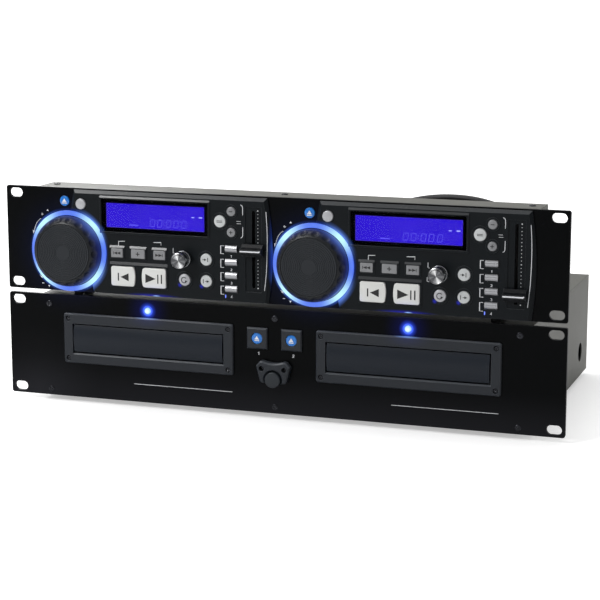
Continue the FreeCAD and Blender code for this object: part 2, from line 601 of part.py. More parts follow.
def draw_fascia_outline(sketch):
    """Straight top and foot, a bulging right side, and an arc that clears the light ring."""
    top, foot, centre_z = value("fascia_top"), value("fascia_foot"), value("ring_up")
    ring_radius = value("ring_dia / 2 + ring_clearance")
    toe_x, neck_x = value("fascia_toe"), value("fascia_neck")
    toe_z = centre_z - math.sqrt(ring_radius ** 2 - toe_x ** 2)
    neck_z = centre_z + math.sqrt(ring_radius ** 2 - neck_x ** 2)
    left_top, left_low = value("fascia_left_top"), value("fascia_left_low")
    right_top, right_low = value("fascia_right_top"), value("fascia_right_low")
    bulge = value("fascia_bulge_radius")

    def line(start, end):
        return sketch.addGeometry(Part.LineSegment(
            FreeCAD.Vector(start[0], start[1], 0), FreeCAD.Vector(end[0], end[1], 0)), False)

    def arc(centre, radius, first, last):
        circle = Part.Circle(FreeCAD.Vector(centre[0], centre[1], 0),
                             FreeCAD.Vector(0, 0, 1), radius)
        return sketch.addGeometry(Part.ArcOfCircle(circle, first, last), False)

    span = FreeCAD.Vector(right_top - right_low, top - foot, 0)
    middle = FreeCAD.Vector((right_top + right_low) / 2, (top + foot) / 2, 0)
    inward = FreeCAD.Vector(-span.y, span.x, 0).normalize()
    bulge_centre = middle + inward * math.sqrt(bulge ** 2 - (span.Length / 2) ** 2)
    low_angle = math.atan2(foot - bulge_centre.y, right_low - bulge_centre.x)
    high_angle = math.atan2(top - bulge_centre.y, right_top - bulge_centre.x)
    side = arc((bulge_centre.x, bulge_centre.y), bulge, low_angle, high_angle)
    top_edge = line((right_top, top), (left_top, top))
    neck = line((left_top, top), (neck_x, neck_z))
    hollow = arc((0, centre_z), ring_radius, math.atan2(toe_z - centre_z, toe_x),
                 math.atan2(neck_z - centre_z, neck_x))
    toe = line((toe_x, toe_z), (left_low, foot))
    foot_edge = line((left_low, foot), (right_low, foot))
    for joint in ((side, 2, top_edge, 1), (top_edge, 2, neck, 1), (neck, 2, hollow, 2),
                  (hollow, 1, toe, 1), (toe, 2, foot_edge, 1), (foot_edge, 2, side, 1)):
        sketch.addConstraint(Sketcher.Constraint("Coincident", *joint))
    sketch.addConstraint(Sketcher.Constraint("Horizontal", top_edge))
    sketch.addConstraint(Sketcher.Constraint("Horizontal", foot_edge))
    sketch.addConstraint(Sketcher.Constraint("PointOnObject", hollow, 3, -2))
    limit(sketch, "ring_level", "DistanceY", -1, 1, hollow, 3, "ring_up")
    limit(sketch, "ring_radius", "Radius", hollow, "ring_dia / 2 + ring_clearance")
    limit(sketch, "bulge_radius", "Radius", side, "fascia_bulge_radius")
    limit(sketch, "top_level", "DistanceY", -1, 1, top_edge, 2, "fascia_top")
    limit(sketch, "foot_level", "DistanceY", -1, 1, foot_edge, 1, "fascia_foot")
    limit(sketch, "left_top", "DistanceX", -1, 1, top_edge, 2, "fascia_left_top")
    limit(sketch, "right_top", "DistanceX", -1, 1, top_edge, 1, "fascia_right_top")
    limit(sketch, "left_low", "DistanceX", -1, 1, foot_edge, 1, "fascia_left_low")
    limit(sketch, "right_low", "DistanceX", -1, 1, foot_edge, 2, "fascia_right_low")
    limit(sketch, "toe_x", "DistanceX", -1, 1, toe, 1, "fascia_toe")
    limit(sketch, "neck_x", "DistanceX", -1, 1, neck, 2, "fascia_neck")


def deck_fascia(deck):
    body = new_body("deck_fascia_%d" % deck)
    on_deck(body, deck)
    outline = sketch_on(body, "fascia_outline_%d" % deck)
    draw_fascia_outline(outline)
    plate = pad(body, outline, "fascia_height", "fascia_plate_%d" % deck)
    level, foot = -value("fascia_height"), value("fascia_foot")
    bevel_edges = edges_where(plate, lambda edge: abs(edge.BoundBox.YMin - level) < 0.01
                              and abs(edge.BoundBox.YMax - level) < 0.01
                              and edge.BoundBox.ZMax > foot + 1)
    chamfer(body, plate, bevel_edges, "fascia_bevel", "fascia_bevel_%d" % deck)
    add_collars(body)
    add_key_frames(body)
    add_window_frame(body)
    hollow_back(body)
    cut_key_holes(body)
    cut_fader_recess(body)
    return body


def add_collars(body):
    for key, diameter in COLLARS.items():
        x, up = ROUND_KEYS[key][:2]
        sketch = sketch_on(body, "collar_" + key, "fascia_height", x, up)
        draw_circle(sketch, "outer", diameter)
        draw_circle(sketch, "inner", "%s - 2 * collar_wall" % diameter)
        pad(body, sketch, "collar_proud", "collar_pad_" + key)


def sloped_frame(body, name, x, up, width, height, wall, crest, slope, proud):
    """A raised frame, square at its sides and foot, with a long slope along its top."""
    side = sketch_on(body, name + "_side", "%s - (%s) / 2 - %s" % (x, width, wall), "0", up,
                     "YZ_Plane")
    low = "-(%s) / 2 - %s" % (height, wall)
    high = "(%s) / 2 + %s" % (height, crest)
    face, front = "-fascia_height", "-fascia_height - " + proud
    draw_outline(side, ((face, low), (front, low), (front, high),
                        (face, "%s + %s" % (high, slope))))
    return pad(body, side, "%s + 2 * %s" % (width, wall), name)


def add_key_frames(body):
    for key in ("search_back_key", "skip_ten_key", "search_forward_key"):
        x, up, width, height = BLOCK_KEYS[key][:4]
        sloped_frame(body, "frame_" + key, x, up, width, height, "key_frame_wall",
                     "search_frame_crest", "search_frame_slope", "key_frame_proud")
    sloped_frame(body, "frame_main_keys", "(cue_x + play_x) / 2", "main_up",
                 "play_x - cue_x + main_width", "main_height", "key_frame_wall",
                 "main_frame_crest", "main_frame_slope", "key_frame_proud")


def add_window_frame(body):
    """A raised frame round the display, and the recess that holds its window."""
    sloped_frame(body, "window_frame", "window_x", "window_up", "window_width",
                 "window_height", "frame_rib", "frame_crest", "frame_slope", "frame_proud")
    cut_rectangle(body, "window_seat", "window_width", "window_height",
                  "fascia_height + frame_proud", "frame_proud + window_recess",
                  "window_x", "window_up")
    cut_rectangle(body, "glass_cut", "glass_width", "glass_height", "fascia_height",
                  "fascia_height", "window_x", "window_up")


def hollow_back(body):
    sketch = sketch_on(body, "hollow", SKIN_BACK, "(cut_left + cut_right) / 2",
                       "(fascia_top + fascia_foot) / 2")
    draw_rectangle(sketch, "cut_right - cut_left + 2",
                   "fascia_top - fascia_foot - 2 * fascia_rim")
    pocket(body, sketch, SKIN_BACK, "hollow_cut")
    cut_rectangle(body, "display_hollow", DISPLAY_WIDTH + " + 2 * sheet_thick",
                  DISPLAY_HEIGHT + " + 2 * sheet_thick", SKIN_BACK, SKIN_BACK, "window_x",
                  "window_up")
    cut_circle(body, "browse_hollow", "browse_dia + 2 * key_flange_lip + 4 * key_fit",
               SKIN_BACK, SKIN_BACK, "browse_x", "browse_up")


def cut_key_holes(body):
    front = "fascia_height + collar_proud + key_frame_proud"
    for key, (x, up, diameter) in ROUND_KEYS.items():
        cut_circle(body, "hole_" + key, "%s + 2 * key_fit" % diameter, front, front, x, up)
    for key, (x, up, width, height, proud) in BLOCK_KEYS.items():
        cut_rectangle(body, "hole_" + key, "%s + 2 * key_fit" % width,
                      "%s + 2 * key_fit" % height, front, front, x, up)
    for key, (x, side) in MAIN_KEYS.items():
        sketch = main_key_sketch(body, "hole_" + key, side, "key_fit", front, x, "main_up")
        pocket(body, sketch, front, "cut_" + key)
    cut_circle(body, "knob_hole", "knob_shaft_dia + 2 * bush_wall + 2 * running_fit"
               " + screw_clearance", front, front, "knob_x", "knob_up")


def cut_fader_recess(body):
    cut_rectangle(body, "fader_recess", "fader_recess_width", "fader_recess_length",
                  "fascia_height", "fader_recess_depth", "fader_x", "fader_up")
    slot = sketch_on(body, "fader_slot", "fascia_height", "fader_x", "fader_up")
    draw_slot(slot, FADER_SLOT, "fader_slot_width", upright=True)
    pocket(body, slot, "fascia_height", "fader_slot_cut")


def deck_fascias():
    return finish(grouped("deck_fascias", [deck_fascia(1), deck_fascia(2)]), "deck_fascias")


# ---- keys ----

def add_flange_and_stem(body, outline, back, reach):
    """The flange behind a key's hole, drawn by outline, and the stem that meets its switch."""
    sketch = sketch_on(body, "flange_outline", back)
    outline(sketch)
    pad(body, sketch, "key_flange", "flange")
    padded_circle(body, "stem", "key_stem_dia", "-%s" % reach, "%s + (%s)" % (reach, back))


def bevel_front(body, feature, front, size="key_edge"):
    chamfer(body, feature, front_edges(feature, front), size, "front_bevel")


def round_key(key, deck):
    x, up, diameter = ROUND_KEYS[key]
    label = "%s_%d" % (key, deck)
    front = "fascia_height + round_proud"
    body = new_body(label)
    on_deck(body, deck, x, up)
    cap = padded_circle(body, "cap", diameter, NORMAL_KEY_BACK,
                        "%s - %s" % (front, NORMAL_KEY_BACK))
    bevel_front(body, cap, front)
    add_flange_and_stem(body, lambda sketch: draw_circle(
        sketch, "diameter", "%s + 2 * key_flange_lip" % diameter), NORMAL_KEY_BACK, STEM_REACH)
    return finish(body, label)


def block_key(key, deck):
    x, up, width, height, proud = BLOCK_KEYS[key]
    label = "%s_%d" % (key, deck)
    front = "fascia_height + " + proud
    body = new_body(label)
    on_deck(body, deck, x, up)
    cap = padded_rectangle(body, "cap", width, height, NORMAL_KEY_BACK,
                           "%s - %s" % (front, NORMAL_KEY_BACK))
    bevel_front(body, cap, front)
    add_flange_and_stem(body, lambda sketch: draw_rectangle(
        sketch, width + " + 2 * key_flange_lip", height + " + 2 * key_flange_lip"),
        NORMAL_KEY_BACK, STEM_REACH)
    return finish(body, label)


def main_key(key, deck):
    x, side = MAIN_KEYS[key]
    label = "%s_%d" % (key, deck)
    front = "fascia_height + main_proud"
    body = new_body(label)
    on_deck(body, deck, x, "main_up")
    outline = main_key_sketch(body, "cap_outline", side, "0", NORMAL_KEY_BACK)
    cap = pad(body, outline, "%s - %s" % (front, NORMAL_KEY_BACK), "cap")
    depth = value("fascia_height + main_proud") - value(NORMAL_KEY_BACK)
    corners = edges_where(cap, lambda edge: abs(edge.BoundBox.YLength - depth) < 0.01
                          and edge.BoundBox.XLength < 0.01)
    rounded = fillet(body, cap, corners, "main_corner", "cap_corners")
    bevel_front(body, rounded, front)
    add_flange_and_stem(body, lambda sketch: draw_main_key(sketch, side, "key_flange_lip"),
                        NORMAL_KEY_BACK, STEM_REACH)
    return finish(body, label)


def plate_key(label, diameter, proud, reach):
    """A round key that comes straight through a steel panel."""
    body = new_body(label)
    cap = padded_circle(body, "cap", diameter, "-(%s)" % PLATE_KEY_FRONT,
                        "%s + %s" % (PLATE_KEY_FRONT, proud))
    bevel_front(body, cap, proud)
    add_flange_and_stem(body, lambda sketch: draw_circle(
        sketch, "diameter", "%s + 2 * key_flange_lip" % diameter),
        "-(%s + key_flange)" % PLATE_KEY_FRONT, reach)
    return finish(body, label)


def deck_keys(deck):
    for key in ROUND_KEYS:
        round_key(key, deck)
    for key in BLOCK_KEYS:
        block_key(key, deck)
    for key in MAIN_KEYS:
        main_key(key, deck)
    eject = plate_key("eject_key_%d" % deck, "eject_dia", "eject_proud", STEM_REACH)
    on_deck(eject, deck, "eject_x", "eject_up")


def player_keys():
    for tray in (1, 2):
        key = plate_key("tray_key_%d" % tray, "tray_key_dia", "tray_key_proud", STEM_REACH)
        place(key, "%d * tray_key_x" % (2 * tray - 3), FACE, PLAYER_SILL + " + tray_key_up")
    power = plate_key("power_key", "power_dia", "power_proud", POWER_REACH)
    place(power, "0", FACE, PLAYER_SILL + " + power_up")


# ---- turning and sliding controls ----

def revolved(body, name, corners):
    """Turn a half outline of (radius, height in front of the panel) pairs about Y."""
    sketch = sketch_on(body, name + "_outline", role="XY_Plane")
    draw_outline(sketch, [(radius, "-(%s)" % lift) for radius, lift in corners])
    turned = body.newObject("PartDesign::Revolution", name)
    turned.Profile = sketch
    turned.ReferenceAxis = (sketch, ["V_Axis"])
    turned.Angle = 360.0
    return turned


WHEEL_PROFILE = (
    ("0", "-shaft_reach"),
    ("wheel_shaft_dia / 2", "-shaft_reach"),
    ("wheel_shaft_dia / 2", "wheel_gap"),
    ("wheel_boss_dia / 2", "wheel_gap"),
    ("wheel_boss_dia / 2", "wheel_height - pad_step - wheel_web"),
    ("pad_dia / 2", "wheel_height - pad_step - wheel_web"),
    ("wheel_dia / 2 - wheel_rim", "wheel_gap + wheel_edge"),
    ("wheel_dia / 2 - wheel_rim", "wheel_gap"),
    ("wheel_dia / 2", "wheel_gap"),
    ("wheel_dia / 2", "wheel_gap + wheel_edge"),
    ("wheel_dia / 2 - 0.22 * (wheel_dia / 2 - pad_dia / 2 - pad_moat) + shoulder_swell / 2",
     "wheel_gap + wheel_edge + 0.4 * (wheel_height - wheel_gap - wheel_edge)"),
    ("pad_dia / 2 + pad_moat + 0.38 * (wheel_dia / 2 - pad_dia / 2 - pad_moat)"
     " + shoulder_swell / 2",
     "wheel_height - 0.18 * (wheel_height - wheel_gap - wheel_edge)"),
    ("pad_dia / 2 + pad_moat", "wheel_height"),
    ("pad_dia / 2 + pad_moat", "wheel_height - pad_step"),
    ("pad_dia / 2", "wheel_height - pad_step"),
    ("pad_dia / 2", "wheel_height"),
    ("pad_flat_dia / 2", "wheel_height"),
    ("0", "wheel_height"),
)


def jog_wheel(deck):
    """A hollow moulded wheel on a shaft, with finger dimples round its shoulder."""
    label = "jog_wheel_%d" % deck
    body = new_body(label)
    on_deck(body, deck, "0", "ring_up")
    revolved(body, "wheel", WHEEL_PROFILE)
    ball = sketch_on(body, "dimple_outline", "0", "dimple_circle / 2", "-dimple_lift",
                     "XY_Plane")
    radius = value("dimple_ball_dia / 2")
    arc = ball.addGeometry(Part.ArcOfCircle(Part.Circle(
        FreeCAD.Vector(), FreeCAD.Vector(0, 0, 1), radius), 0, math.pi), False)
    chord = ball.addGeometry(Part.LineSegment(
        FreeCAD.Vector(-radius, 0, 0), FreeCAD.Vector(radius, 0, 0)), False)
    for joint in (("Coincident", arc, 3, -1, 1), ("Coincident", arc, 2, chord, 1),
                  ("Coincident", arc, 1, chord, 2), ("Horizontal", chord)):
        ball.addConstraint(Sketcher.Constraint(*joint))
    limit(ball, "radius", "Radius", arc, "dimple_ball_dia / 2")
    dimple = body.newObject("PartDesign::Groove", "dimple")
    dimple.Profile = ball
    dimple.ReferenceAxis = (ball, ["H_Axis"])
    dimple.Angle = 360.0
    doc.recompute()
    ring = body.newObject("PartDesign::PolarPattern", "dimples")
    ring.Originals = [dimple]
    ring.Axis = (origin_plane(body, "Y_Axis"), [""])
    ring.Angle = 360.0
    bind(ring, "Occurrences", "dimple_count")
    body.Tip = ring
    return finish(body, label)


KNOB_FOOT = "(fascia_height + knob_gap)"
KNOB_FRONT = "(fascia_height + knob_gap + knob_length)"
KNOB_PROFILE = (
    ("0", "-shaft_reach"),
    ("knob_shaft_dia / 2", "-shaft_reach"),
    ("knob_shaft_dia / 2", KNOB_FOOT),
    ("knob_skirt_dia / 2", KNOB_FOOT),
    ("knob_skirt_dia / 2", KNOB_FOOT + " + knob_skirt_length - knob_edge"),
    ("knob_skirt_dia / 2 - knob_edge", KNOB_FOOT + " + knob_skirt_length"),
    ("knob_waist_dia / 2", KNOB_FOOT + " + knob_skirt_length"),
    ("knob_waist_dia / 2", KNOB_FOOT + " + knob_skirt_length + knob_waist_length"),
    ("knob_dia / 2", KNOB_FOOT + " + knob_skirt_length + knob_waist_length"),
    ("knob_dia / 2", KNOB_FRONT + " - knob_edge"),
    ("knob_dia / 2 - knob_edge", KNOB_FRONT),
    ("0", KNOB_FRONT),
)


def track_knob(deck):
    label = "track_knob_%d" % deck
    body = new_body(label)
    on_deck(body, deck, "knob_x", "knob_up")
    revolved(body, "knob", KNOB_PROFILE)
    return finish(body, label)


def pitch_fader(deck):
    """A ridged cap on a flat blade that runs in the fascia's slot."""
    label = "pitch_fader_%d" % deck
    rest = "fader_rest_first" if deck == 1 else "fader_rest_second"
    body = new_body(label)
    on_deck(body, deck, "fader_x", "fader_up + " + rest)
    side = sketch_on(body, "cap_side", "-fader_cap_width / 2", role="YZ_Plane")
    draw_outline(side, (
        ("-fader_cap_base", "-fader_cap_height / 2"),
        ("-fader_cap_base", "fader_cap_height / 2"),
        ("-fader_cap_base - fader_cap_lip", "fader_cap_height / 2"),
        ("-(fader_cap_base + fader_cap_lip + fader_cap_front) / 2 + fader_cap_hollow",
         "(fader_cap_height + fader_cap_ridge) / 4 - fader_cap_hollow"),
        ("-fader_cap_front", "fader_cap_ridge / 2"),
        ("-fader_cap_front", "-fader_cap_ridge / 2"),
        ("-(fader_cap_base + fader_cap_lip + fader_cap_front) / 2 + fader_cap_hollow",
         "-(fader_cap_height + fader_cap_ridge) / 4 + fader_cap_hollow"),
        ("-fader_cap_base - fader_cap_lip", "-fader_cap_height / 2"),
    ))
    pad(body, side, "fader_cap_width", "cap")
    padded_rectangle(body, "blade", "fader_blade_width", "fader_blade_height",
                     "-fader_reach", "fader_reach + fader_cap_base")
    return finish(body, label)


# ---- light rings, lamps and windows ----

def light_guides():
    pieces = []
    for deck in (1, 2):
        up = CONTROL_SILL + " + ring_up"
        outer = rod("ring_outer_%d" % deck, deck_x(deck), up, "ring_dia", "-ring_height", "0")
        inner = rod("ring_inner_%d" % deck, deck_x(deck), up, "ring_bore",
                    "-2 * ring_height", "ring_height")
        pieces.append(cut_away("ring_%d" % deck, outer, inner))
    for side in (-1, 1):
        body = new_body("lamp_%d" % (side + 1))
        place(body, "%d * tray_x" % side, FACE, PLAYER_SILL + " + lamp_up")
        lens = padded_circle(body, "lens", "lamp_dia", "-panel_thick - lamp_collar",
                             "panel_thick + lamp_collar + lamp_proud")
        fillet(body, lens, front_edges(lens, "lamp_proud"), "lamp_proud", "dome")
        padded_circle(body, "collar", "lamp_dia + 2 * lamp_collar",
                      "-panel_thick - lamp_collar", "lamp_collar")
        pieces.append(body)
    return finish(grouped("light_guides", pieces), "light_guides")


def display_windows():
    pieces = []
    for deck in (1, 2):
        body = new_body("window_%d" % deck)
        on_deck(body, deck, "window_x", "window_up")
        padded_rectangle(body, "window_pane", "window_width - 2 * window_fit",
                         "window_height - 2 * window_fit",
                         "fascia_height - window_recess", "window_thick")
        pieces.append(body)
    return finish(grouped("display_windows", pieces), "display_windows")


# ---- tray bezels, key surrounds and the power key's guard ----

def tray_bezel(side):
    body = new_body("bezel_%s" % "lr"[side > 0])
    place(body, "%d * tray_x" % side, FACE, PLAYER_SILL + " + tray_up")
    frame = padded_rectangle(body, "bezel_plate", "bezel_width", "bezel_height", "0",
                             "bezel_height_proud")
    corners = edges_where(frame, lambda edge: edge.BoundBox.YLength > 1)
    rounded = fillet(body, frame, corners, "bezel_corner", "bezel_corners")
    chamfer(body, rounded, front_edges(rounded, "bezel_height_proud"), "bezel_bevel",
            "bezel_bevels")
    mouth = cut_rectangle(body, "mouth", "mouth_width", "mouth_height",
                          "bezel_height_proud", "bezel_height_proud")
    sill = -value("mouth_height / 2")
    low_lip = [name for name in front_edges(mouth, "bezel_height_proud")
               if abs(mouth.Shape.getElement(name).CenterOfMass.z - sill) < 0.01]
    chamfer(body, mouth, low_lip, "bezel_bevel", "mouth_lip")
    for across in (-1, 1):
        for level in (-1, 1):
            x, z = "%d * bezel_screw_x" % across, "%d * bezel_screw_z" % level
            screw_well(body, "bezel_height_proud", "bezel_screw_seat", x, z)
    return body


def screw_well(body, front, seat, x, z):
    """A counterbore for a small screw, and the hole for its shank."""
    cut_circle(body, "screw_well", "bezel_screw_well_dia", front, "%s - %s" % (front, seat),
               x, z)
    cut_circle(body, "screw_hole", "screw_shank_dia + screw_clearance", seat, seat, x, z)


def key_surround(side):
    body = new_body("surround_%s" % "lr"[side > 0])
    place(body, "%d * tray_key_x" % side, FACE, PLAYER_SILL + " + tray_key_up")
    plate = padded_rectangle(body, "surround_plate", "surround_size", "surround_size", "0",
                             "surround_height")
    bevel_front(body, plate, "surround_height", "surround_bevel")
    cut_circle(body, "surround_hole", "tray_key_dia + 2 * key_fit", "surround_height",
               "surround_height")
    return body


def power_guard():
    """A claw round the power key, with a dished brow, rounded corners and screw wells."""
    body = new_body("power_guard")
    place(body, "0", FACE, PLAYER_SILL)
    claw = sketch_on(body, "claw_outline")
    well = "power_dia / 2 + guard_fit"
    half = [("guard_toe_in", "guard_low"), ("guard_toe_out", "guard_low"),
            ("guard_half", "guard_top - guard_shoulder"), ("guard_brow", "guard_top")]
    mirrored = [("-" + x, z) for x, z in reversed(half)]
    draw_outline(claw, [("0", "power_up + " + well), (well, "power_up")] + half
                 + mirrored + [("-(%s)" % well, "power_up")])
    plate = pad(body, claw, "guard_height", "claw")
    inner = value("guard_toe_in") + 0.01
    corners = edges_where(plate, lambda edge: edge.BoundBox.YLength > 1
                          and abs(edge.CenterOfMass.x) > inner)
    fillet(body, plate, corners, "guard_corner", "claw_corners")
    cut_circle(body, "key_well", "power_dia + 2 * guard_fit", "guard_height", "guard_height",
               "0", "power_up")
    dip_radius = "(guard_dip_half ^ 2 + guard_dip ^ 2) / (2 * guard_dip)"
    dished = cut_circle(body, "top_dip", "2 * %s" % dip_radius, "guard_height",
                        "guard_height", "0", "guard_top - guard_dip + %s" % dip_radius)
    bevel_front(body, dished, "guard_height", "guard_bevel")
    for side in (-1, 1):
        screw_well(body, "guard_height", "guard_seat", "%d * guard_screw_x" % side,
                   "guard_screw_up")
    return body


def tray_bezels():
    pieces = [tray_bezel(-1), tray_bezel(1), key_surround(-1), key_surround(1),
              power_guard()]
    return finish(grouped("tray_bezels", pieces), "tray_bezels")


# ---- sheet-metal cases ----

def player_chassis():
    """Floor, rear wall, low sides and front flange, bent from one sheet."""
    body = new_body("player_chassis")
    place(body, "0", FACE, PLAYER_FLOOR)
    width = "(case_width - 2 * sheet_thick - 2 * seam)"
    height = "(case_height - sheet_thick - seam)"
    inside = "(case_depth - panel_thick - 2 * sheet_thick)"
    padded_rectangle(body, "outer", width, height, "-case_depth", "case_depth - panel_thick",
                     "0", height + " / 2")
    cut_rectangle(body, "inner", width + " - 2 * sheet_thick", height,
                  "-panel_thick - sheet_thick", inside, "0", "sheet_thick + %s / 2" % height)
    sides = sketch_on(body, "sides_outline", "case_width", "case_depth / 2",
                      "flange_depth + %s / 2" % height, "YZ_Plane")
    draw_rectangle(sides, inside, height)
    pocket(body, sides, "2 * case_width", "sides_cut")
    cut_front_flange(body)
    cut_rear_wall(body)
    return finish(body, "player_chassis")


def cut_front_flange(body):
    front = "-panel_thick"
    for side in (-1, 1):
        cut_rectangle(body, "tray_mouth", "mouth_width + 2 * plate_mouth_extra",
                      "mouth_height + 2 * plate_mouth_extra", front, "sheet_thick",
                      "%d * tray_x" % side, "tray_up - panel_drop")
        cut_circle(body, "lamp_hole", "lamp_dia + 2 * lamp_collar + 4 * key_fit", front,
                   "sheet_thick", "%d * tray_x" % side, "lamp_up - panel_drop")
    cut_rectangle(body, "key_opening", "player_board_width + 2 * plate_mouth_extra",
                  "player_board_high - player_board_low + 2 * plate_mouth_extra", front,
                  "sheet_thick", "0", "(player_board_low + player_board_high) / 2 - panel_drop")
    for name, x, up in player_plate_screws() + bezel_screws():
        cut_circle(body, "hole_" + name, "screw_shank_dia + screw_clearance", front,
                   "sheet_thick", x, "%s - panel_drop" % up)


def cut_rear_wall(body):
    inner = "sheet_thick - case_depth"
    cut_circle(body, "link_hole", "link_stub_dia + screw_clearance", inner, "sheet_thick",
               "link_socket_x", "link_socket_up - panel_drop")
    cut_circle(body, "lead_hole", "lead_socket_dia + screw_clearance", inner, "sheet_thick",
               "lead_in_x", "lead_in_up - foot_height")
    for number in range(JACKS):
        cut_circle(body, "jack_hole", "jack_dia + screw_clearance", inner, "sheet_thick",
                   "jack_x + %d * jack_pitch" % number, "jack_up - panel_drop")
    cut_rectangle(body, "inlet_hole", "inlet_width + screw_clearance",
                  "inlet_height + screw_clearance", inner, "sheet_thick", "inlet_x",
                  "inlet_up - panel_drop")


def player_cover():
    """A folded cover: top and two sides, with an access hole low in its right side."""
    body = new_body("player_cover")
    place(body, "0", FACE, PLAYER_FLOOR)
    length = "(case_depth - panel_thick)"
    padded_rectangle(body, "outer", "case_width", "case_height", "-case_depth", length,
                     "0", "case_height / 2")
    cut_rectangle(body, "inner", "case_width - 2 * sheet_thick", "case_height", "-panel_thick",
                  length, "0", "case_height / 2 - sheet_thick")
    hole = sketch_on(body, "side_hole", "case_width / 2", "case_depth - side_hole_back",
                     "side_hole_up", "YZ_Plane")
    draw_circle(hole, "diameter", "side_hole_dia")
    pocket(body, hole, "sheet_thick", "side_hole_cut")
    return finish(body, "player_cover")


def control_case():
    """A shallow box, open towards its panel, with a flange behind the panel's edges."""
    body = new_body("control_case")
    place(body, "0", FACE, CONTROL_FLOOR)
    depth = "(control_depth - panel_thick)"
    shell = padded_rectangle(body, "outer", "control_width", "case_height", "-control_depth",
                             depth, "0", "case_height / 2")
    chamfer(body, shell, edges_where(shell, lambda edge: edge.BoundBox.ZLength < 0.01
                                     and edge.BoundBox.YLength < 0.01
                                     and edge.BoundBox.YMin > value("control_depth") - 0.01),
            "key_edge", "rear_edges")
    cut_rectangle(body, "inner", "control_width - 2 * sheet_thick",
                  "case_height - 2 * sheet_thick", "-panel_thick",
                  "%s - sheet_thick" % depth, "0", "case_height / 2")
    cut_circle(body, "lead_hole", "lead_socket_dia + screw_clearance",
               "sheet_thick - control_depth", "sheet_thick", "lead_out_x",
               "lead_out_up - %s" % CONTROL_FLOOR)
    for side in (-1, 0, 1):
        hole = sketch_on(body, "screw_hole", "case_height", "%d * top_screw_x" % side,
                         "top_screw_back", "XY_Plane")
        draw_circle(hole, "diameter", "screw_shank_dia + screw_clearance")
        pocket(body, hole, "sheet_thick", "screw_hole_cut")
    return finish(body, "control_case")


def rubber_feet():
    feet = []
    for x in (-1, 1):
        for depth in ("foot_front_back", "case_depth - foot_rear_inset"):
            feet.append(post("foot", "%d * (case_width / 2 - foot_side_inset)" % x, depth,
                             "foot_dia", "0", "foot_height"))
        for step in (0, 1):
            feet.append(post("foot", "%d * (control_width / 2 - foot_side_inset)" % x,
                             "control_foot_back + %d * control_foot_pitch" % step,
                             "control_foot_dia", "foot_height + case_height", CONTROL_FLOOR))
    return finish(grouped("rubber_feet", feet), "rubber_feet")


# ---- disc trays and their loaders ----

def disc_tray(number):
    """A tray with wells for two sizes of disc, a slot for the spindle and a bowed flap."""
    label = "disc_tray_%d" % number
    body = new_body(label)
    place(body, "%d * tray_x" % (2 * number - 3), FACE, PLAYER_SILL + " + tray_up")
    flap = sketch_on(body, "flap_side", "-(mouth_width / 2 - flap_gap)", role="YZ_Plane")
    draw_flap_side(flap)
    pad(body, flap, "mouth_width - 2 * flap_gap", "flap")
    low = "(tray_low - tray_up)"
    padded_rectangle(body, "tray", "tray_width", "tray_thick", "-flap_back - tray_length",
                     "tray_length", "0", low + " + tray_thick / 2")
    top = "%s + tray_thick" % low
    cut_from_top(body, "disc_well", "disc_dia", top, "disc_well")
    cut_from_top(body, "small_well", "small_disc_dia", top, "disc_well + small_disc_well")
    slot = sketch_on(body, "spindle_slot", top, "0", "disc_back + tray_length / 4",
                     "XY_Plane")
    draw_slot(slot, "spindle_slot + tray_length / 2", "spindle_slot", upright=True)
    pocket(body, slot, "tray_thick", "spindle_slot_cut")
    return finish(body, label)


def cut_from_top(body, name, diameter, top, depth):
    sketch = sketch_on(body, name + "_outline", top, "0", "disc_back", "XY_Plane")
    draw_circle(sketch, "diameter", diameter)
    pocket(body, sketch, depth, name)


def draw_flap_side(sketch):
    """The flap's side view: flat behind and bowed in front, in depth and height."""
    half, swell = value("mouth_height / 2 - flap_gap"), value("flap_bulge")
    edge, back = value("flap_edge"), value("flap_back")
    radius = (half ** 2 + swell ** 2) / (2 * swell)
    angle = math.asin(half / radius)
    lines = [((-edge, -half), (back, -half)), ((back, -half), (back, half)),
             ((back, half), (-edge, half))]
    numbers = [sketch.addGeometry(Part.LineSegment(
        FreeCAD.Vector(a[0], a[1], 0), FreeCAD.Vector(b[0], b[1], 0)), False)
        for a, b in lines]
    centre = FreeCAD.Vector(radius - edge - swell, 0, 0)
    bow = sketch.addGeometry(Part.ArcOfCircle(Part.Circle(
        centre, FreeCAD.Vector(0, 0, 1), radius), math.pi - angle, math.pi + angle), False)
    foot, back_line, head = numbers
    for joint in ((foot, 2, back_line, 1), (back_line, 2, head, 1), (head, 2, bow, 1),
                  (bow, 2, foot, 1)):
        sketch.addConstraint(Sketcher.Constraint("Coincident", *joint))
    half_height = "(mouth_height / 2 - flap_gap)"
    limit(sketch, "edge_x", "DistanceX", -1, 1, bow, 1, "-flap_edge")
    limit(sketch, "edge_z", "DistanceY", -1, 1, bow, 1, half_height)
    limit(sketch, "foot_x", "DistanceX", -1, 1, bow, 2, "-flap_edge")
    limit(sketch, "foot_z", "DistanceY", -1, 1, bow, 2, "-" + half_height)
    limit(sketch, "bow", "Radius", bow, "(%s ^ 2 + flap_bulge ^ 2) / (2 * flap_bulge)"
          % half_height)
    limit(sketch, "back_x", "DistanceX", -1, 1, back_line, 1, "flap_back")
    limit(sketch, "back_high", "DistanceX", -1, 1, back_line, 2, "flap_back")
    sketch.addConstraint(Sketcher.Constraint("Horizontal", foot))
    sketch.addConstraint(Sketcher.Constraint("Horizontal", head))


def disc_drives():
    pieces = []
    for side in (-1, 1):
        pieces += loader(side)
    return finish(grouped("disc_drives", pieces), "disc_drives")


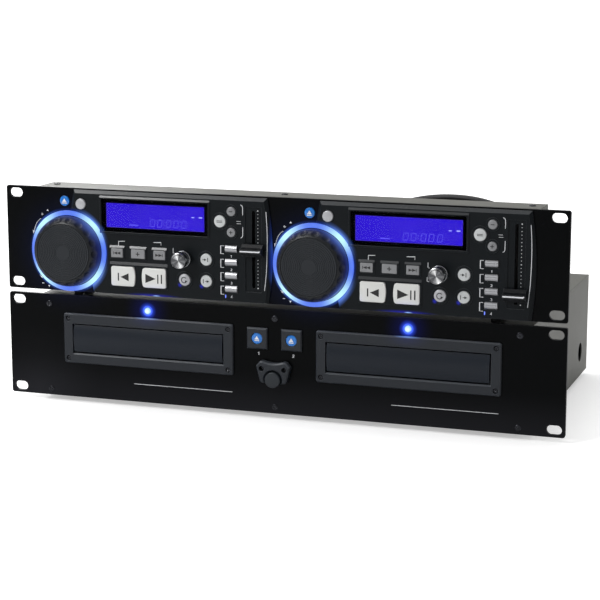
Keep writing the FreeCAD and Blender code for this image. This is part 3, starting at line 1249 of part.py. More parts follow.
def loader(side):
    """A shell open at the front, with rails for the tray, a turntable, a clamp and legs."""
    x = "%d * tray_x" % side
    name = "lr"[side > 0]
    high, low = PLAYER_SILL + " + loader_high", PLAYER_SILL + " + loader_low"
    middle = "(%s + %s) / 2" % (high, low)
    back = "%s + loader_depth" % LOADER_FRONT
    outer = block("loader_outer_" + name, x, middle, LOADER_INNER + " + 2 * loader_wall",
                  "loader_high - loader_low", LOADER_FRONT, back)
    inner = block("loader_inner_" + name, x, middle, LOADER_INNER,
                  "loader_high - loader_low - 2 * loader_wall",
                  LOADER_FRONT + " - sheet_thick", back + " - loader_wall")
    pieces = [cut_away("loader_shell_" + name, outer, inner)]
    tray_low = PLAYER_SILL + " + tray_low"
    for across in (-1, 1):
        rail_x = "%s + %d * (%s - rail_width) / 2" % (x, across, LOADER_INNER)
        for level in ("%s - tray_fit - rail_thick / 2" % tray_low,
                      "%s + tray_thick + tray_fit + rail_thick / 2" % tray_low):
            pieces.append(block("rail_" + name, rail_x, level, "rail_width", "rail_thick",
                                LOADER_FRONT + " + sheet_thick", back + " - loader_wall"))
        for depth in (LOADER_FRONT + " + leg_size", back + " - leg_size"):
            leg_x = "%s + %d * (%s / 2 - leg_size)" % (x, across, LOADER_INNER)
            leg = block("leg_" + name, leg_x, "(%s + sheet_thick + %s) / 2"
                        % (PLAYER_FLOOR, low), "leg_size",
                        "%s - (%s) - sheet_thick" % (low, PLAYER_FLOOR),
                        "%s - leg_size / 2" % depth, "%s + leg_size / 2" % depth)
            pieces.append(leg)
    pieces.append(post("hub_" + name, x, "disc_back", "hub_dia", low + " + loader_wall",
                       tray_low + " - hub_gap"))
    pieces.append(post("clamp_" + name, x, "disc_back", "clamp_dia",
                       high + " - loader_wall - clamp_drop", high + " - loader_wall"))
    return [fused("loader_" + name, pieces)]


# ---- boards, switches and sockets ----

def tube(name, x, z, outer, inner, front, back):
    wall = rod(name + "_wall", x, z, outer, front, back)
    bore = rod(name + "_bore", x, z, inner, "(%s) - sheet_thick" % front, back)
    return cut_away(name, wall, bore)


def switch(name, x, z):
    return block("switch_" + name, x, z, "switch_size", "switch_size",
                 "board_back - switch_height", "board_back")


def deck_switches(deck):
    left = deck_x(deck)
    places = {key: (data[0], data[1]) for key, data in ROUND_KEYS.items()}
    places.update({key: (data[0], data[1]) for key, data in BLOCK_KEYS.items()})
    places.update({key: (data[0], "main_up") for key, data in MAIN_KEYS.items()})
    places["eject_key"] = ("eject_x", "eject_up")
    return [switch("%s_%d" % (key, deck), "%s + %s" % (left, x),
                   "%s + %s" % (CONTROL_SILL, up)) for key, (x, up) in places.items()]


def deck_controls(deck):
    """Bushes of the jog wheel and the knob, the fader's body and the display."""
    left = deck_x(deck)
    pieces = []
    for name, x, up, shaft, front in (
            ("jog_bush", "0", "ring_up", "wheel_shaft_dia", "0"),
            ("knob_bush", "knob_x", "knob_up", "knob_shaft_dia",
             "-fascia_height - knob_bush_lift")):
        bore = "(%s + 2 * running_fit)" % shaft
        pieces.append(tube("%s_%d" % (name, deck), "%s + %s" % (left, x),
                           "%s + %s" % (CONTROL_SILL, up), "%s + 2 * bush_wall" % bore, bore,
                           front, "board_back"))
    x, level = "%s + fader_x" % left, CONTROL_SILL + " + fader_up"
    front = "board_back - fader_body_depth"
    shell = block("fader_shell_%d" % deck, x, level, "fader_body_width",
                  "fader_recess_length", front, "board_back")
    groove = block("fader_groove_%d" % deck, x, level, "fader_slot_width",
                   FADER_SLOT, front + " - sheet_thick",
                   front + " + fader_groove_depth")
    pieces.append(cut_away("fader_body_%d" % deck, shell, groove))
    pieces.append(block("display_%d" % deck, "%s + window_x" % left,
                        CONTROL_SILL + " + window_up", DISPLAY_WIDTH, DISPLAY_HEIGHT,
                        "-(%s - key_back_gap)" % SKIN_BACK, "board_back"))
    return pieces


def control_board():
    middle = "%s + (board_low + board_high) / 2" % CONTROL_SILL
    pieces = [block("control_board", "0", middle, "2 * board_half", "board_high - board_low",
                    "board_back", "board_back + board_thick")]
    for deck in (1, 2):
        pieces += deck_switches(deck) + deck_controls(deck)
    for x in ("post_left", "post_middle", "post_right"):
        for level in ("board_low + post_dia", "board_high - post_dia"):
            pieces.append(rod("board_post", x, "%s + %s" % (CONTROL_SILL, level), "post_dia",
                              "panel_thick", "board_back"))
    return fused("control_board_set", pieces)


def player_board():
    middle = "%s + (player_board_low + player_board_high) / 2" % PLAYER_SILL
    pieces = [block("player_board", "0", middle, "player_board_width",
                    "player_board_high - player_board_low", "board_back",
                    "board_back + board_thick")]
    for x in (-1, 1):
        pieces.append(switch("tray_key", "%d * tray_key_x" % x, PLAYER_SILL + " + tray_key_up"))
        for level in ("player_board_low + post_dia", "player_board_high - post_dia"):
            pieces.append(rod("player_post", "%d * (player_board_width - post_dia) / 2" % x,
                              "%s + %s" % (PLAYER_SILL, level), "post_dia", "panel_thick",
                              "board_back"))
    pieces.append(switch("power_key", "0", PLAYER_SILL + " + power_up"))
    return fused("player_board_set", pieces)


def main_board():
    """The rear board on its stands, with the jacks' block and the link socket's body."""
    low = "%s + sheet_thick + board_stand" % PLAYER_FLOOR
    top = low + " + board_thick"
    back = "main_board_back + main_board_depth"
    pieces = [block("main_board", "0", low + " + board_thick / 2", "main_board_width",
                    "board_thick", "main_board_back", back)]
    for x in (-1, 1):
        for depth in ("main_board_back + leg_size", back + " - leg_size"):
            pieces.append(post("main_stand", "%d * (main_board_width / 2 - leg_size)" % x, depth,
                               "post_dia", PLAYER_FLOOR + " + sheet_thick", low))
    level = PLAYER_SILL + " + jack_up"
    block_height = "(%s + jack_dia - (%s))" % (level, top)
    pieces.append(block("jack_block", "jack_x + %d * jack_pitch / 2" % (JACKS - 1),
                        "%s + %s / 2" % (top, block_height), "%d * jack_pitch" % JACKS,
                        block_height, back + " - jack_dia",
                        "case_depth - sheet_thick"))
    for number in range(JACKS):
        pieces.append(rod("jack", "jack_x + %d * jack_pitch" % number, level, "jack_dia",
                          back, "case_depth + jack_reach"))
    return fused("main_board_set", pieces)


def mains_inlet():
    """A cup that opens to the rear, with a flange on the wall and three flat pins."""
    x, level = "inlet_x", PLAYER_SILL + " + inlet_up"
    rear = "case_depth + inlet_wall"
    cup = block("inlet_cup", x, level, "inlet_width", "inlet_height",
                "case_depth - inlet_depth", rear)
    flange = block("inlet_flange", x, level, "inlet_width + 2 * inlet_flange",
                   "inlet_height + 2 * inlet_flange", "case_depth", rear)
    hollow = block("inlet_hollow", x, level, "inlet_width - 2 * inlet_wall",
                   "inlet_height - 2 * inlet_wall", "case_depth - inlet_depth + inlet_wall",
                   rear + " + inlet_wall")
    shell = cut_away("inlet_shell", fused("inlet_solid", [cup, flange]), hollow)
    return shell


def link_socket():
    x, level = "link_socket_x", PLAYER_SILL + " + link_socket_up"
    barrel = rod("link_barrel", x, level, "link_socket_dia", "case_depth",
                 "case_depth + socket_reach")
    stub = rod("link_stub", x, level, "link_stub_dia", "case_depth - link_socket_dia",
               "case_depth")
    return fused("link_socket", [barrel, stub])


def lead_sockets():
    sockets = []
    for name, x, level, wall in (("upper", "lead_out_x", "lead_out_up", "control_depth"),
                                 ("lower", "lead_in_x", "lead_in_up", "case_depth")):
        barrel = rod("socket_barrel_" + name, x, level, "lead_socket_dia",
                     "%s - lead_socket_depth" % wall, "%s + lead_socket_proud" % wall)
        collar = rod("socket_collar_" + name, x, level, "lead_socket_dia + 2 * sheet_thick",
                     wall, "%s + sheet_thick" % wall)
        sockets.append(fused("lead_socket_" + name, [barrel, collar]))
    return sockets


def circuit_boards():
    pieces = [control_board(), player_board(), main_board(), mains_inlet(), link_socket()]
    return finish(grouped("circuit_boards", pieces + lead_sockets()), "circuit_boards")


# ---- link lead between the two units ----

# Route of the lead's middle line: x, depth behind the panel face, height.
LEAD_ROUTE = (
    (30, 106, 140), (46, 132, 157), (92, 137, 172.3), (146, 131, 171.8),
    (186, 128, 152), (201, 133, 118), (190, 150, 97), (160, 172, 94.9),
    (118, 198, 95.4), (94, 236, 95.2), (90, 275, 95.1), (89, 302, 92),
    (90, 321, 73), (92, 321.5, 46), (96, 302, 28),
)


def lead_end(x, up, wall):
    reach = value("%s + lead_socket_proud + plug_length + plug_neck_length" % wall)
    return FreeCAD.Vector(value(x), value(FACE) + reach, value(up))


def link_cable():
    """A tube of straight runs joined by tangent arcs, from plug to plug."""
    points = [lead_end("lead_out_x", "lead_out_up", "control_depth")]
    points += [FreeCAD.Vector(x, value(FACE) + depth, z) for x, depth, z in LEAD_ROUTE]
    points.append(lead_end("lead_in_x", "lead_in_up", "case_depth"))
    path, length = rounded_path(points)
    section = Part.Wire(Part.makeCircle(value("lead_dia") / 2, points[0],
                                        points[1] - points[0]))
    tube_shape = path.makePipeShell([section], True, False)
    expected = math.pi * value("lead_dia") ** 2 / 4 * length
    print("lead: length %.0f mm, volume %.0f of %.0f" % (length, tube_shape.Volume, expected))
    lead = doc.addObject("Part::Feature", "link_cable")
    lead.Shape = tube_shape
    return finish(lead, "link_cable")


def rounded_path(points):
    edges, radii = [], []
    start = points[0]
    for before, corner, after in zip(points, points[1:], points[2:]):
        inward, outward = corner - before, after - corner
        half_turn = inward.getAngle(outward) / 2
        reach = 0.45 * min(inward.Length, outward.Length)
        radii.append(reach / math.tan(half_turn))
        first = corner - FreeCAD.Vector(inward).normalize() * reach
        last = corner + FreeCAD.Vector(outward).normalize() * reach
        chord_middle = (first + last) * 0.5
        sag = radii[-1] * (1 - math.cos(half_turn))
        crown = chord_middle + (corner - chord_middle).normalize() * sag
        edges.append(Part.LineSegment(start, first).toShape())
        edges.append(Part.Arc(first, crown, last).toShape())
        start = last
    edges.append(Part.LineSegment(start, points[-1]).toShape())
    print("lead radii in mm:", ", ".join("%.0f" % radius for radius in radii))
    return Part.Wire(edges), sum(edge.Length for edge in edges)


def cable_plugs():
    plugs = []
    for name, x, level, wall in (("upper", "lead_out_x", "lead_out_up", "control_depth"),
                                 ("lower", "lead_in_x", "lead_in_up", "case_depth")):
        seat = "%s + lead_socket_proud" % wall
        shell = rod("plug_shell_" + name, x, level, "plug_dia", seat, seat + " + plug_length")
        neck = rod("plug_neck_" + name, x, level, "plug_neck_dia", seat + " + plug_length",
                   seat + " + plug_length + plug_neck_length")
        plugs.append(fused("plug_" + name, [shell, neck]))
    return finish(grouped("cable_plugs", plugs), "cable_plugs")


# ---- the whole player ----

def build_all():
    for deck in (1, 2):
        deck_keys(deck)
        jog_wheel(deck)
        track_knob(deck)
        pitch_fader(deck)
        disc_tray(deck)
    player_keys()
    for make in (control_front_plate, control_case, deck_fascias, light_guides,
                 display_windows, player_front_plate, player_chassis, player_cover,
                 tray_bezels, case_screws, rubber_feet, disc_drives, circuit_boards,
                 link_cable, cable_plugs):
        make()


def check_all():
    doc.recompute()
    failed = [thing.Name for thing in doc.Objects
              if "Invalid" in thing.State or "Error" in thing.State]
    failed += [thing.Label for thing in finished
               if thing.Shape.isNull() or not thing.Shape.isValid()
               or not thing.Shape.Solids]
    if failed:
        raise RuntimeError("failed objects: " + ", ".join(failed))


def write_all():
    os.makedirs("parts", exist_ok=True)
    for thing in finished:
        thing.Shape.exportStep("parts/%s.step" % thing.Label)
    print("wrote %d nodes" % len(finished))


fill_sheet()
build_all()
check_all()
write_all()
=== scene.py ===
import bpy
import bmesh
import math
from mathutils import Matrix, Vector


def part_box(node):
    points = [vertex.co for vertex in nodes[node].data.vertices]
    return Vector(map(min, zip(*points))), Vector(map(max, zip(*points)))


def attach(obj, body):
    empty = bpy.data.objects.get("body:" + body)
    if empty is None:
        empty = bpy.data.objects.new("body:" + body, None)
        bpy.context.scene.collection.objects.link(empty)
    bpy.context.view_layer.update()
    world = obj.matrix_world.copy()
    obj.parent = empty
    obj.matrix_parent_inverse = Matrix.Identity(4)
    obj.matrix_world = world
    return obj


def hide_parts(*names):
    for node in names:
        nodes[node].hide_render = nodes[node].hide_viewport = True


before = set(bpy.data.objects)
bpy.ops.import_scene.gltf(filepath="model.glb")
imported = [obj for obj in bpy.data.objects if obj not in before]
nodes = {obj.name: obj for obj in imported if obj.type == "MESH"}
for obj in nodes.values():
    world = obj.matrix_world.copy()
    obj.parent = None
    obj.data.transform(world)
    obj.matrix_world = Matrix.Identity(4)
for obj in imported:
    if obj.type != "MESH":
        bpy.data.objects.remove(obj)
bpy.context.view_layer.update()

mm = 0.001


def tone(red, green, blue):
    # a screen colour, 0 to 255, as linear light
    return tuple(((c / 255 + 0.055) / 1.055) ** 2.4 if c > 10 else c / 3294.6
                 for c in (red, green, blue))


# where things are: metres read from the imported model, and mm over a panel's foot or across it
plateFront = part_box("control_front_plate")[0].y
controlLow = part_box("control_front_plate")[0].z
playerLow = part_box("player_front_plate")[0].z
ringUp = 34.5


def frontMiddle(name):
    # middle of the front face of a node's box
    low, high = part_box(name)
    return Vector(((low.x + high.x) / 2, low.y, (low.z + high.z) / 2))


deckX = {deck: frontMiddle("jog_wheel_%d" % deck).x for deck in (1, 2)}
trayX = {1: -112.9, 2: 112.9}
trayLampUp = 79.0
knobAt = (106.5, 34.5)   # from the jog wheel's middle and the panel's foot


def onDeck(deck, x, up, height=0.0):
    # mm from the jog wheel's middle, the panel's foot and the panel's face
    return Vector((deckX[deck] + x * mm, plateFront - height * mm, controlLow + up * mm))


def onPlayer(x, up, height=0.0):
    return Vector((x * mm, plateFront - height * mm, playerLow + up * mm))


def newObject(name, data):
    thing = bpy.data.objects.new(name, data)
    bpy.context.scene.collection.objects.link(thing)
    return thing


def turnedAlong(direction):
    return direction.to_track_quat("-Z", "Y").to_euler()


# camera: a long lens from the front right, a little above
camera = {"place": (0.50159, -1.51609, 0.38739), "turn": 0.33068, "tilt": 0.19111,
          "lens": 111.28, "sensor": 36.0}


def makeCamera():
    data = bpy.data.cameras.new("frontView")
    data.lens, data.sensor_width = camera["lens"], camera["sensor"]
    data.clip_start, data.clip_end = 0.05, 50
    view = newObject("frontView", data)
    view.location = camera["place"]
    level = math.cos(camera["tilt"])
    look = Vector((-math.sin(camera["turn"]) * level, math.cos(camera["turn"]) * level,
                   -math.sin(camera["tilt"])))
    view.rotation_euler = turnedAlong(look)
    bpy.context.scene.camera = view


makeCamera()
bpy.context.scene.view_settings.view_transform = "Standard"
print("camera is set")

# mesh tools


def addPiece(mesh, material=None, smooth=None, body="chassis"):
    # an object named like its mesh; smooth is the angle in degrees above which an edge stays sharp
    piece = newObject(mesh.name, mesh)
    if material:
        mesh.materials.append(material)
    if smooth is not None:
        mesh.shade_smooth()
        mesh.set_sharp_from_angle(angle=math.radians(smooth))
    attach(piece, body)
    return piece


def twoSkins(mesh, first, second, isSecond):
    # isSecond says of a face's middle whether it takes the second material
    for material in (first, second):
        mesh.materials.append(material)
    for face in mesh.polygons:
        face.material_index = int(isSecond(face.center))


def meshFrom(name, points, faces):
    mesh = bpy.data.meshes.new(name)
    mesh.from_pydata([tuple(p) for p in points], [], faces)
    mesh.validate()
    work = bmesh.new()
    work.from_mesh(mesh)
    bmesh.ops.recalc_face_normals(work, faces=work.faces)
    work.to_mesh(mesh)
    work.free()
    return mesh


def joinMeshes(name, meshes):
    work = bmesh.new()
    for mesh in meshes:
        work.from_mesh(mesh)
    joined = bpy.data.meshes.new(name)
    work.to_mesh(joined)
    work.free()
    return joined


def skinLoops(loops, count):
    # faces between closed rings of points that lie one after the other in a list
    faces = []
    for k in range(loops - 1):
        for i in range(count):
            j = (i + 1) % count
            faces.append([k * count + i, k * count + j, (k + 1) * count + j, (k + 1) * count + i])
    return faces


def lathe(name, profile, centre, segments=96, bend=None):
    # turn (radius, reach) pairs in mm about an axis along y through centre; reach counts towards -y
    points, faces, rings = [], [], []
    for radius, reach in profile:
        if radius < 1e-6:
            rings.append([len(points)])
            points.append((0.0, 0.0, reach))
            continue
        rings.append(list(range(len(points), len(points) + segments)))
        for step in range(segments):
            angle = 2 * math.pi * step / segments
            place = (radius * math.cos(angle), radius * math.sin(angle), reach)
            points.append(bend(place) if bend else place)
    for lower, upper in zip(rings, rings[1:]):
        for step in range(segments):
            corners = (lower[step % len(lower)], lower[(step + 1) % len(lower)],
                       upper[(step + 1) % len(upper)], upper[step % len(upper)])
            face = list(dict.fromkeys(corners))
            if len(face) > 2:
                faces.append(face)
    return meshFrom(name, [centre + Vector((x, -reach, z)) * mm for x, z, reach in points], faces)


def slab(name, outlines, origin, thick):
    # closed flat outlines in mm, each raised by thick mm towards the front
    points, faces = [], []
    for outline in outlines:
        start, count = len(points), len(outline)
        for level in (0.0, thick):
            points += [origin + Vector((x, -level, z)) * mm for x, z in outline]
        faces += [list(range(start, start + count)), list(range(start + count, start + 2 * count))]
        faces += [[start + corner for corner in face] for face in skinLoops(2, count)]
    return meshFrom(name, points, faces)


def stroke(path, width):
    # outline of a line of even width along a path of (x, z) points
    left, right = [], []
    for i, here in enumerate(path):
        before, after = path[max(i - 1, 0)], path[min(i + 1, len(path) - 1)]
        run = Vector((after[0] - before[0], after[1] - before[1]))
        side = Vector((-run.y, run.x)).normalized() * width / 2
        if 0 < i < len(path) - 1:
            first = Vector((here[0] - before[0], here[1] - before[1])).normalized()
            second = Vector((after[0] - here[0], after[1] - here[1])).normalized()
            side = side / max(0.3, math.cos(first.angle(second) / 2))
        left.append((here[0] + side.x, here[1] + side.y))
        right.append((here[0] - side.x, here[1] - side.y))
    return left + right[::-1]


def arcPath(x, z, radius, start, end, steps=12):
    return [(x + radius * math.cos(math.radians(start + (end - start) * i / steps)),
             z + radius * math.sin(math.radians(start + (end - start) * i / steps)))
            for i in range(steps + 1)]


def disc(x, z, radius, steps=16):
    return arcPath(x, z, radius, 0, 360 - 360 / steps, steps - 1)


def triangle(x, z, width, height):
    # its point is to the right, or to the left where width is negative
    return [(x - width / 2, z - height / 2), (x + width / 2, z), (x - width / 2, z + height / 2)]


def bar(x, z, width, height):
    return [(x - width / 2, z - height / 2), (x + width / 2, z - height / 2),
            (x + width / 2, z + height / 2), (x - width / 2, z + height / 2)]


def roundedBox(x, z, width, height, radius, steps=5):
    outline = []
    for sx, sz, start in ((1, 1, 0), (-1, 1, 90), (-1, -1, 180), (1, -1, 270)):
        outline += arcPath(x + sx * (width / 2 - radius), z + sz * (height / 2 - radius),
                           radius, start, start + 90, steps)
    return outline


def throughPoints(path, steps=10):
    # a smooth line through a few (x, z) points
    line = []
    for k in range(len(path) - 1):
        p0, p1 = path[max(k - 1, 0)], path[k]
        p2, p3 = path[k + 1], path[min(k + 2, len(path) - 1)]
        for i in range(steps):
            f = i / steps
            line.append(tuple(0.5 * (2 * b + (c - a) * f + (2 * a - 5 * b + 4 * c - d) * f * f
                                     + (3 * b - a - 3 * c + d) * f ** 3)
                              for a, b, c, d in zip(p0, p1, p2, p3)))
    return line + [tuple(path[-1])]


# shader groups


def wire(tree, value, socket):
    # a socket is linked, a plain value is set
    if hasattr(value, "links"):
        tree.links.new(value, socket)
    else:
        socket.default_value = value


def fill(tree, node, values):
    for label, value in values.items():
        wire(tree, value, node.inputs[label])


def mathNode(tree, operation, *values, clamp=False):
    node = tree.nodes.new("ShaderNodeMath")
    node.operation, node.use_clamp = operation, clamp
    for value, socket in zip(values, node.inputs):
        wire(tree, value, socket)
    return node.outputs[0]


def vectorNode(tree, operation, *values):
    node = tree.nodes.new("ShaderNodeVectorMath")
    node.operation = operation
    for value, socket in zip(values, node.inputs):
        wire(tree, value, socket)
    return node.outputs["Value"] if operation in ("LENGTH", "DOT_PRODUCT") else node.outputs[0]


def noiseNode(tree, place, scale, detail=2.0):
    node = tree.nodes.new("ShaderNodeTexNoise")
    fill(tree, node, {"Vector": place, "Scale": scale, "Detail": detail})
    return node.outputs[0]


def mixColour(tree, factor, first, second, blend="MIX"):
    node = tree.nodes.new("ShaderNodeMix")
    node.data_type, node.blend_type = "RGBA", blend
    wire(tree, factor, node.inputs[0])
    for value, socket in ((first, node.inputs[6]), (second, node.inputs[7])):
        wire(tree, value if hasattr(value, "links") else (*value, 1.0), socket)
    return node.outputs[2]


def objectPlace(tree):
    return tree.nodes.new("ShaderNodeTexCoord").outputs["Object"]


def axes(tree, vector):
    node = tree.nodes.new("ShaderNodeSeparateXYZ")
    tree.links.new(vector, node.inputs[0])
    return node.outputs


def waveRound(tree, offset, count, phase):
    # a cosine with so many crests in one turn about an axis along y
    parts = axes(tree, offset)
    angle = mathNode(tree, "ARCTAN2", parts["Z"], parts["X"])
    return mathNode(tree, "COSINE", mathNode(tree, "MULTIPLY_ADD", angle, count, phase))


def crests(tree, wave, power):
    # 1 on the crests of a wave and 0 in its troughs
    return mathNode(tree, "POWER", mathNode(tree, "MULTIPLY_ADD", wave, 0.5, 0.5), power)


def makeGroup(name, inputs, outputs):
    group = bpy.data.node_groups.new(name, "ShaderNodeTree")
    for label, value in inputs.items():
        kind = "NodeSocketVector" if isinstance(value, tuple) else "NodeSocketFloat"
        group.interface.new_socket(name=label, in_out="INPUT", socket_type=kind).default_value = value
    for label in outputs:
        kind = "NodeSocketVector" if label == "Normal" else "NodeSocketFloat"
        group.interface.new_socket(name=label, in_out="OUTPUT", socket_type=kind)
    return group, group.nodes.new("NodeGroupInput").outputs, group.nodes.new("NodeGroupOutput")


def makeGrainGroup():
    # fine speckle of a moulded or powder-coated skin, a broad cloud, and dust on upward faces
    group, given, result = makeGroup("skinGrain", {"Scale": 900.0, "Stretch": (1, 1, 1)},
                                     ("Height", "Cloud", "Dust"))
    place = objectPlace(group)
    scaled = vectorNode(group, "MULTIPLY", place, given["Stretch"])
    normal = group.nodes.new("ShaderNodeNewGeometry").outputs["Normal"]
    specks = mathNode(group, "MULTIPLY_ADD", noiseNode(group, place, 380.0, 5.0), 7.0, -4.1, clamp=True)
    upper = mathNode(group, "MULTIPLY_ADD", axes(group, normal)["Z"], 2.0, -1.0, clamp=True)
    fill(group, result, {"Height": noiseNode(group, scaled, given["Scale"], 3.0),
                         "Cloud": noiseNode(group, place, 14.0, 4.0),
                         "Dust": mathNode(group, "MULTIPLY", specks, upper)})
    return group


def makeEdgeGroup():
    # a normal that rounds the edges, a mask of edges that surface() paints paler, partly as rubbed paint and
    # partly as a painted highlight, and one of faces that lean back
    group, given, result = makeGroup("softEdge", {"Radius": 0.0003}, ("Normal", "Edge", "Slope"))
    bevel = group.nodes.new("ShaderNodeBevel")
    bevel.samples = 4
    wire(group, given["Radius"], bevel.inputs["Radius"])
    soft, hard = bevel.outputs[0], group.nodes.new("ShaderNodeNewGeometry").outputs["Normal"]
    away = mathNode(group, "SUBTRACT", 1.0, vectorNode(group, "DOT_PRODUCT", soft, hard))
    slope = mathNode(group, "MULTIPLY_ADD", axes(group, soft)["Z"], 4.0, -0.5, clamp=True)
    fill(group, result, {"Normal": soft, "Slope": slope,
                         "Edge": mathNode(group, "MULTIPLY", away, 4.0, clamp=True)})
    return group


def makeSpotGroup():
    # a soft spot of light on a surface: 1 inside Inner, 0 beyond Outer; Squash flattens it
    group, given, result = makeGroup("lightSpot", {"Centre": (0, 0, 0), "Squash": (1, 1, 1), "Inner": 0.01,
                                                   "Outer": 0.02, "Power": 2.0}, ("Mask",))
    apart = vectorNode(group, "SUBTRACT", objectPlace(group), given["Centre"])
    reach = vectorNode(group, "LENGTH", vectorNode(group, "MULTIPLY", apart, given["Squash"]))
    beyond = mathNode(group, "SUBTRACT", given["Outer"], reach)
    span = mathNode(group, "SUBTRACT", given["Outer"], given["Inner"])
    share = mathNode(group, "DIVIDE", beyond, span, clamp=True)
    fill(group, result, {"Mask": mathNode(group, "POWER", share, given["Power"])})
    return group


def makeRingGroup():
    # light round a ring that faces -y: Band falls off from Radius, Hot marks its four lamps
    group, given, result = makeGroup("ringLight", {"Centre": (0, 0, 0), "Radius": 0.0323, "Reach": 0.01,
                                                   "Power": 2.0}, ("Band", "Hot"))
    apart = vectorNode(group, "SUBTRACT", objectPlace(group), given["Centre"])
    flat = vectorNode(group, "MULTIPLY", apart, (1, 0, 1))
    radius = vectorNode(group, "LENGTH", flat)
    off = mathNode(group, "ABSOLUTE", mathNode(group, "SUBTRACT", radius, given["Radius"]))
    share = mathNode(group, "DIVIDE", off, given["Reach"])
    near = mathNode(group, "SUBTRACT", 1.0, share, clamp=True)
    fill(group, result, {"Band": mathNode(group, "POWER", near, given["Power"]),
                         "Hot": crests(group, waveRound(group, flat, 4.0, math.pi), 1.7)})
    return group


grainGroup = makeGrainGroup()
edgeGroup = makeEdgeGroup()
spotGroup = makeSpotGroup()
ringGroup = makeRingGroup()


def placeGroup(tree, group, **values):
    node = tree.nodes.new("ShaderNodeGroup")
    node.node_tree = group
    fill(tree, node, values)
    return node.outputs


def newMaterial(name):
    material = bpy.data.materials.new(name)
    material.use_nodes = True
    return material, material.node_tree, material.node_tree.nodes["Principled BSDF"]


def surface(name, look):
    # a moulded, painted or metal skin with grain, cloudy tint, dust and softened edges; edges are painted
    # paler, partly as rubbed paint and partly as a painted highlight, and faces that lean back can take a
    # painted highlight
    material, tree, shader = newMaterial(name)
    grain = placeGroup(tree, grainGroup, Scale=look.get("grainScale", 1500.0),
                       Stretch=look.get("stretch", (1, 1, 1)))
    edge = placeGroup(tree, edgeGroup, Radius=look.get("edgeRadius", 0.0003))
    plain = tone(*look["colour"])
    cloud = tone(*look["cloud"]) if "cloud" in look else [c * 0.8 for c in plain]
    bright = tone(*look["edge"]) if "edge" in look else [min(1, c * 2.5 + 0.02) for c in plain]
    # edges painted paler: partly rubbed paint, partly a painted highlight where the lamps catch them
    wornAndLitEdge = mathNode(tree, "MULTIPLY", edge["Edge"], look.get("wear", 0.3))
    colour = mixColour(tree, grain["Height"], mixColour(tree, grain["Cloud"], plain, cloud), plain)
    colour = mixColour(tree, wornAndLitEdge, colour, bright)
    if "slope" in look:
        # faces that lean back are painted paler: a painted highlight where they catch the lamps above
        paintedSheen = mathNode(tree, "MULTIPLY", edge["Slope"], look["slopeSheen"])
        colour = mixColour(tree, paintedSheen, colour, tone(*look["slope"]))
    dust = mathNode(tree, "MULTIPLY", grain["Dust"], look.get("dust", 0.15))
    bump = tree.nodes.new("ShaderNodeBump")
    fill(tree, bump, {"Strength": look.get("bump", 0.15), "Distance": 0.0001,
                      "Height": grain["Height"], "Normal": edge["Normal"]})
    fill(tree, shader, {
        "Base Color": mixColour(tree, dust, colour, tone(150, 148, 143)),
        "Roughness": mathNode(tree, "MULTIPLY_ADD", grain["Cloud"], 0.08, look["roughness"] - 0.04),
        "Metallic": look.get("metal", 0.0), "Specular IOR Level": look.get("specular", 0.5),
        "Normal": bump.outputs[0]})
    if "coat" in look:
        fill(tree, shader, {"Coat Weight": look["coat"], "Coat Roughness": 0.1})
    if "slopeCoat" in look:
        fill(tree, shader, {"Coat Weight": mathNode(tree, "MULTIPLY", edge["Slope"], look["slopeCoat"]),
                            "Coat Roughness": 0.22})
    return material


def addLight(material, masks):
    # light that lamps throw on a surface: pairs of a mask socket and a colour, added up
    tree, shader = material.node_tree, material.node_tree.nodes["Principled BSDF"]
    total = None
    for mask, colour in masks:
        lit = mixColour(tree, mask, (0, 0, 0), colour)
        total = lit if total is None else mixColour(tree, 1.0, total, lit, "ADD")
    fill(tree, shader, {"Emission Color": total, "Emission Strength": 1.0})


def spotMask(material, centre, inner, outer, power, squash=(1, 1, 1)):
    return placeGroup(material.node_tree, spotGroup, Centre=centre, Inner=inner * mm, Outer=outer * mm,
                      Power=power, Squash=squash)["Mask"]


def dress(name, material):
    slots = nodes[name].material_slots
    for slot in slots:
        slot.material = material
    if not slots:
        nodes[name].data.materials.append(material)
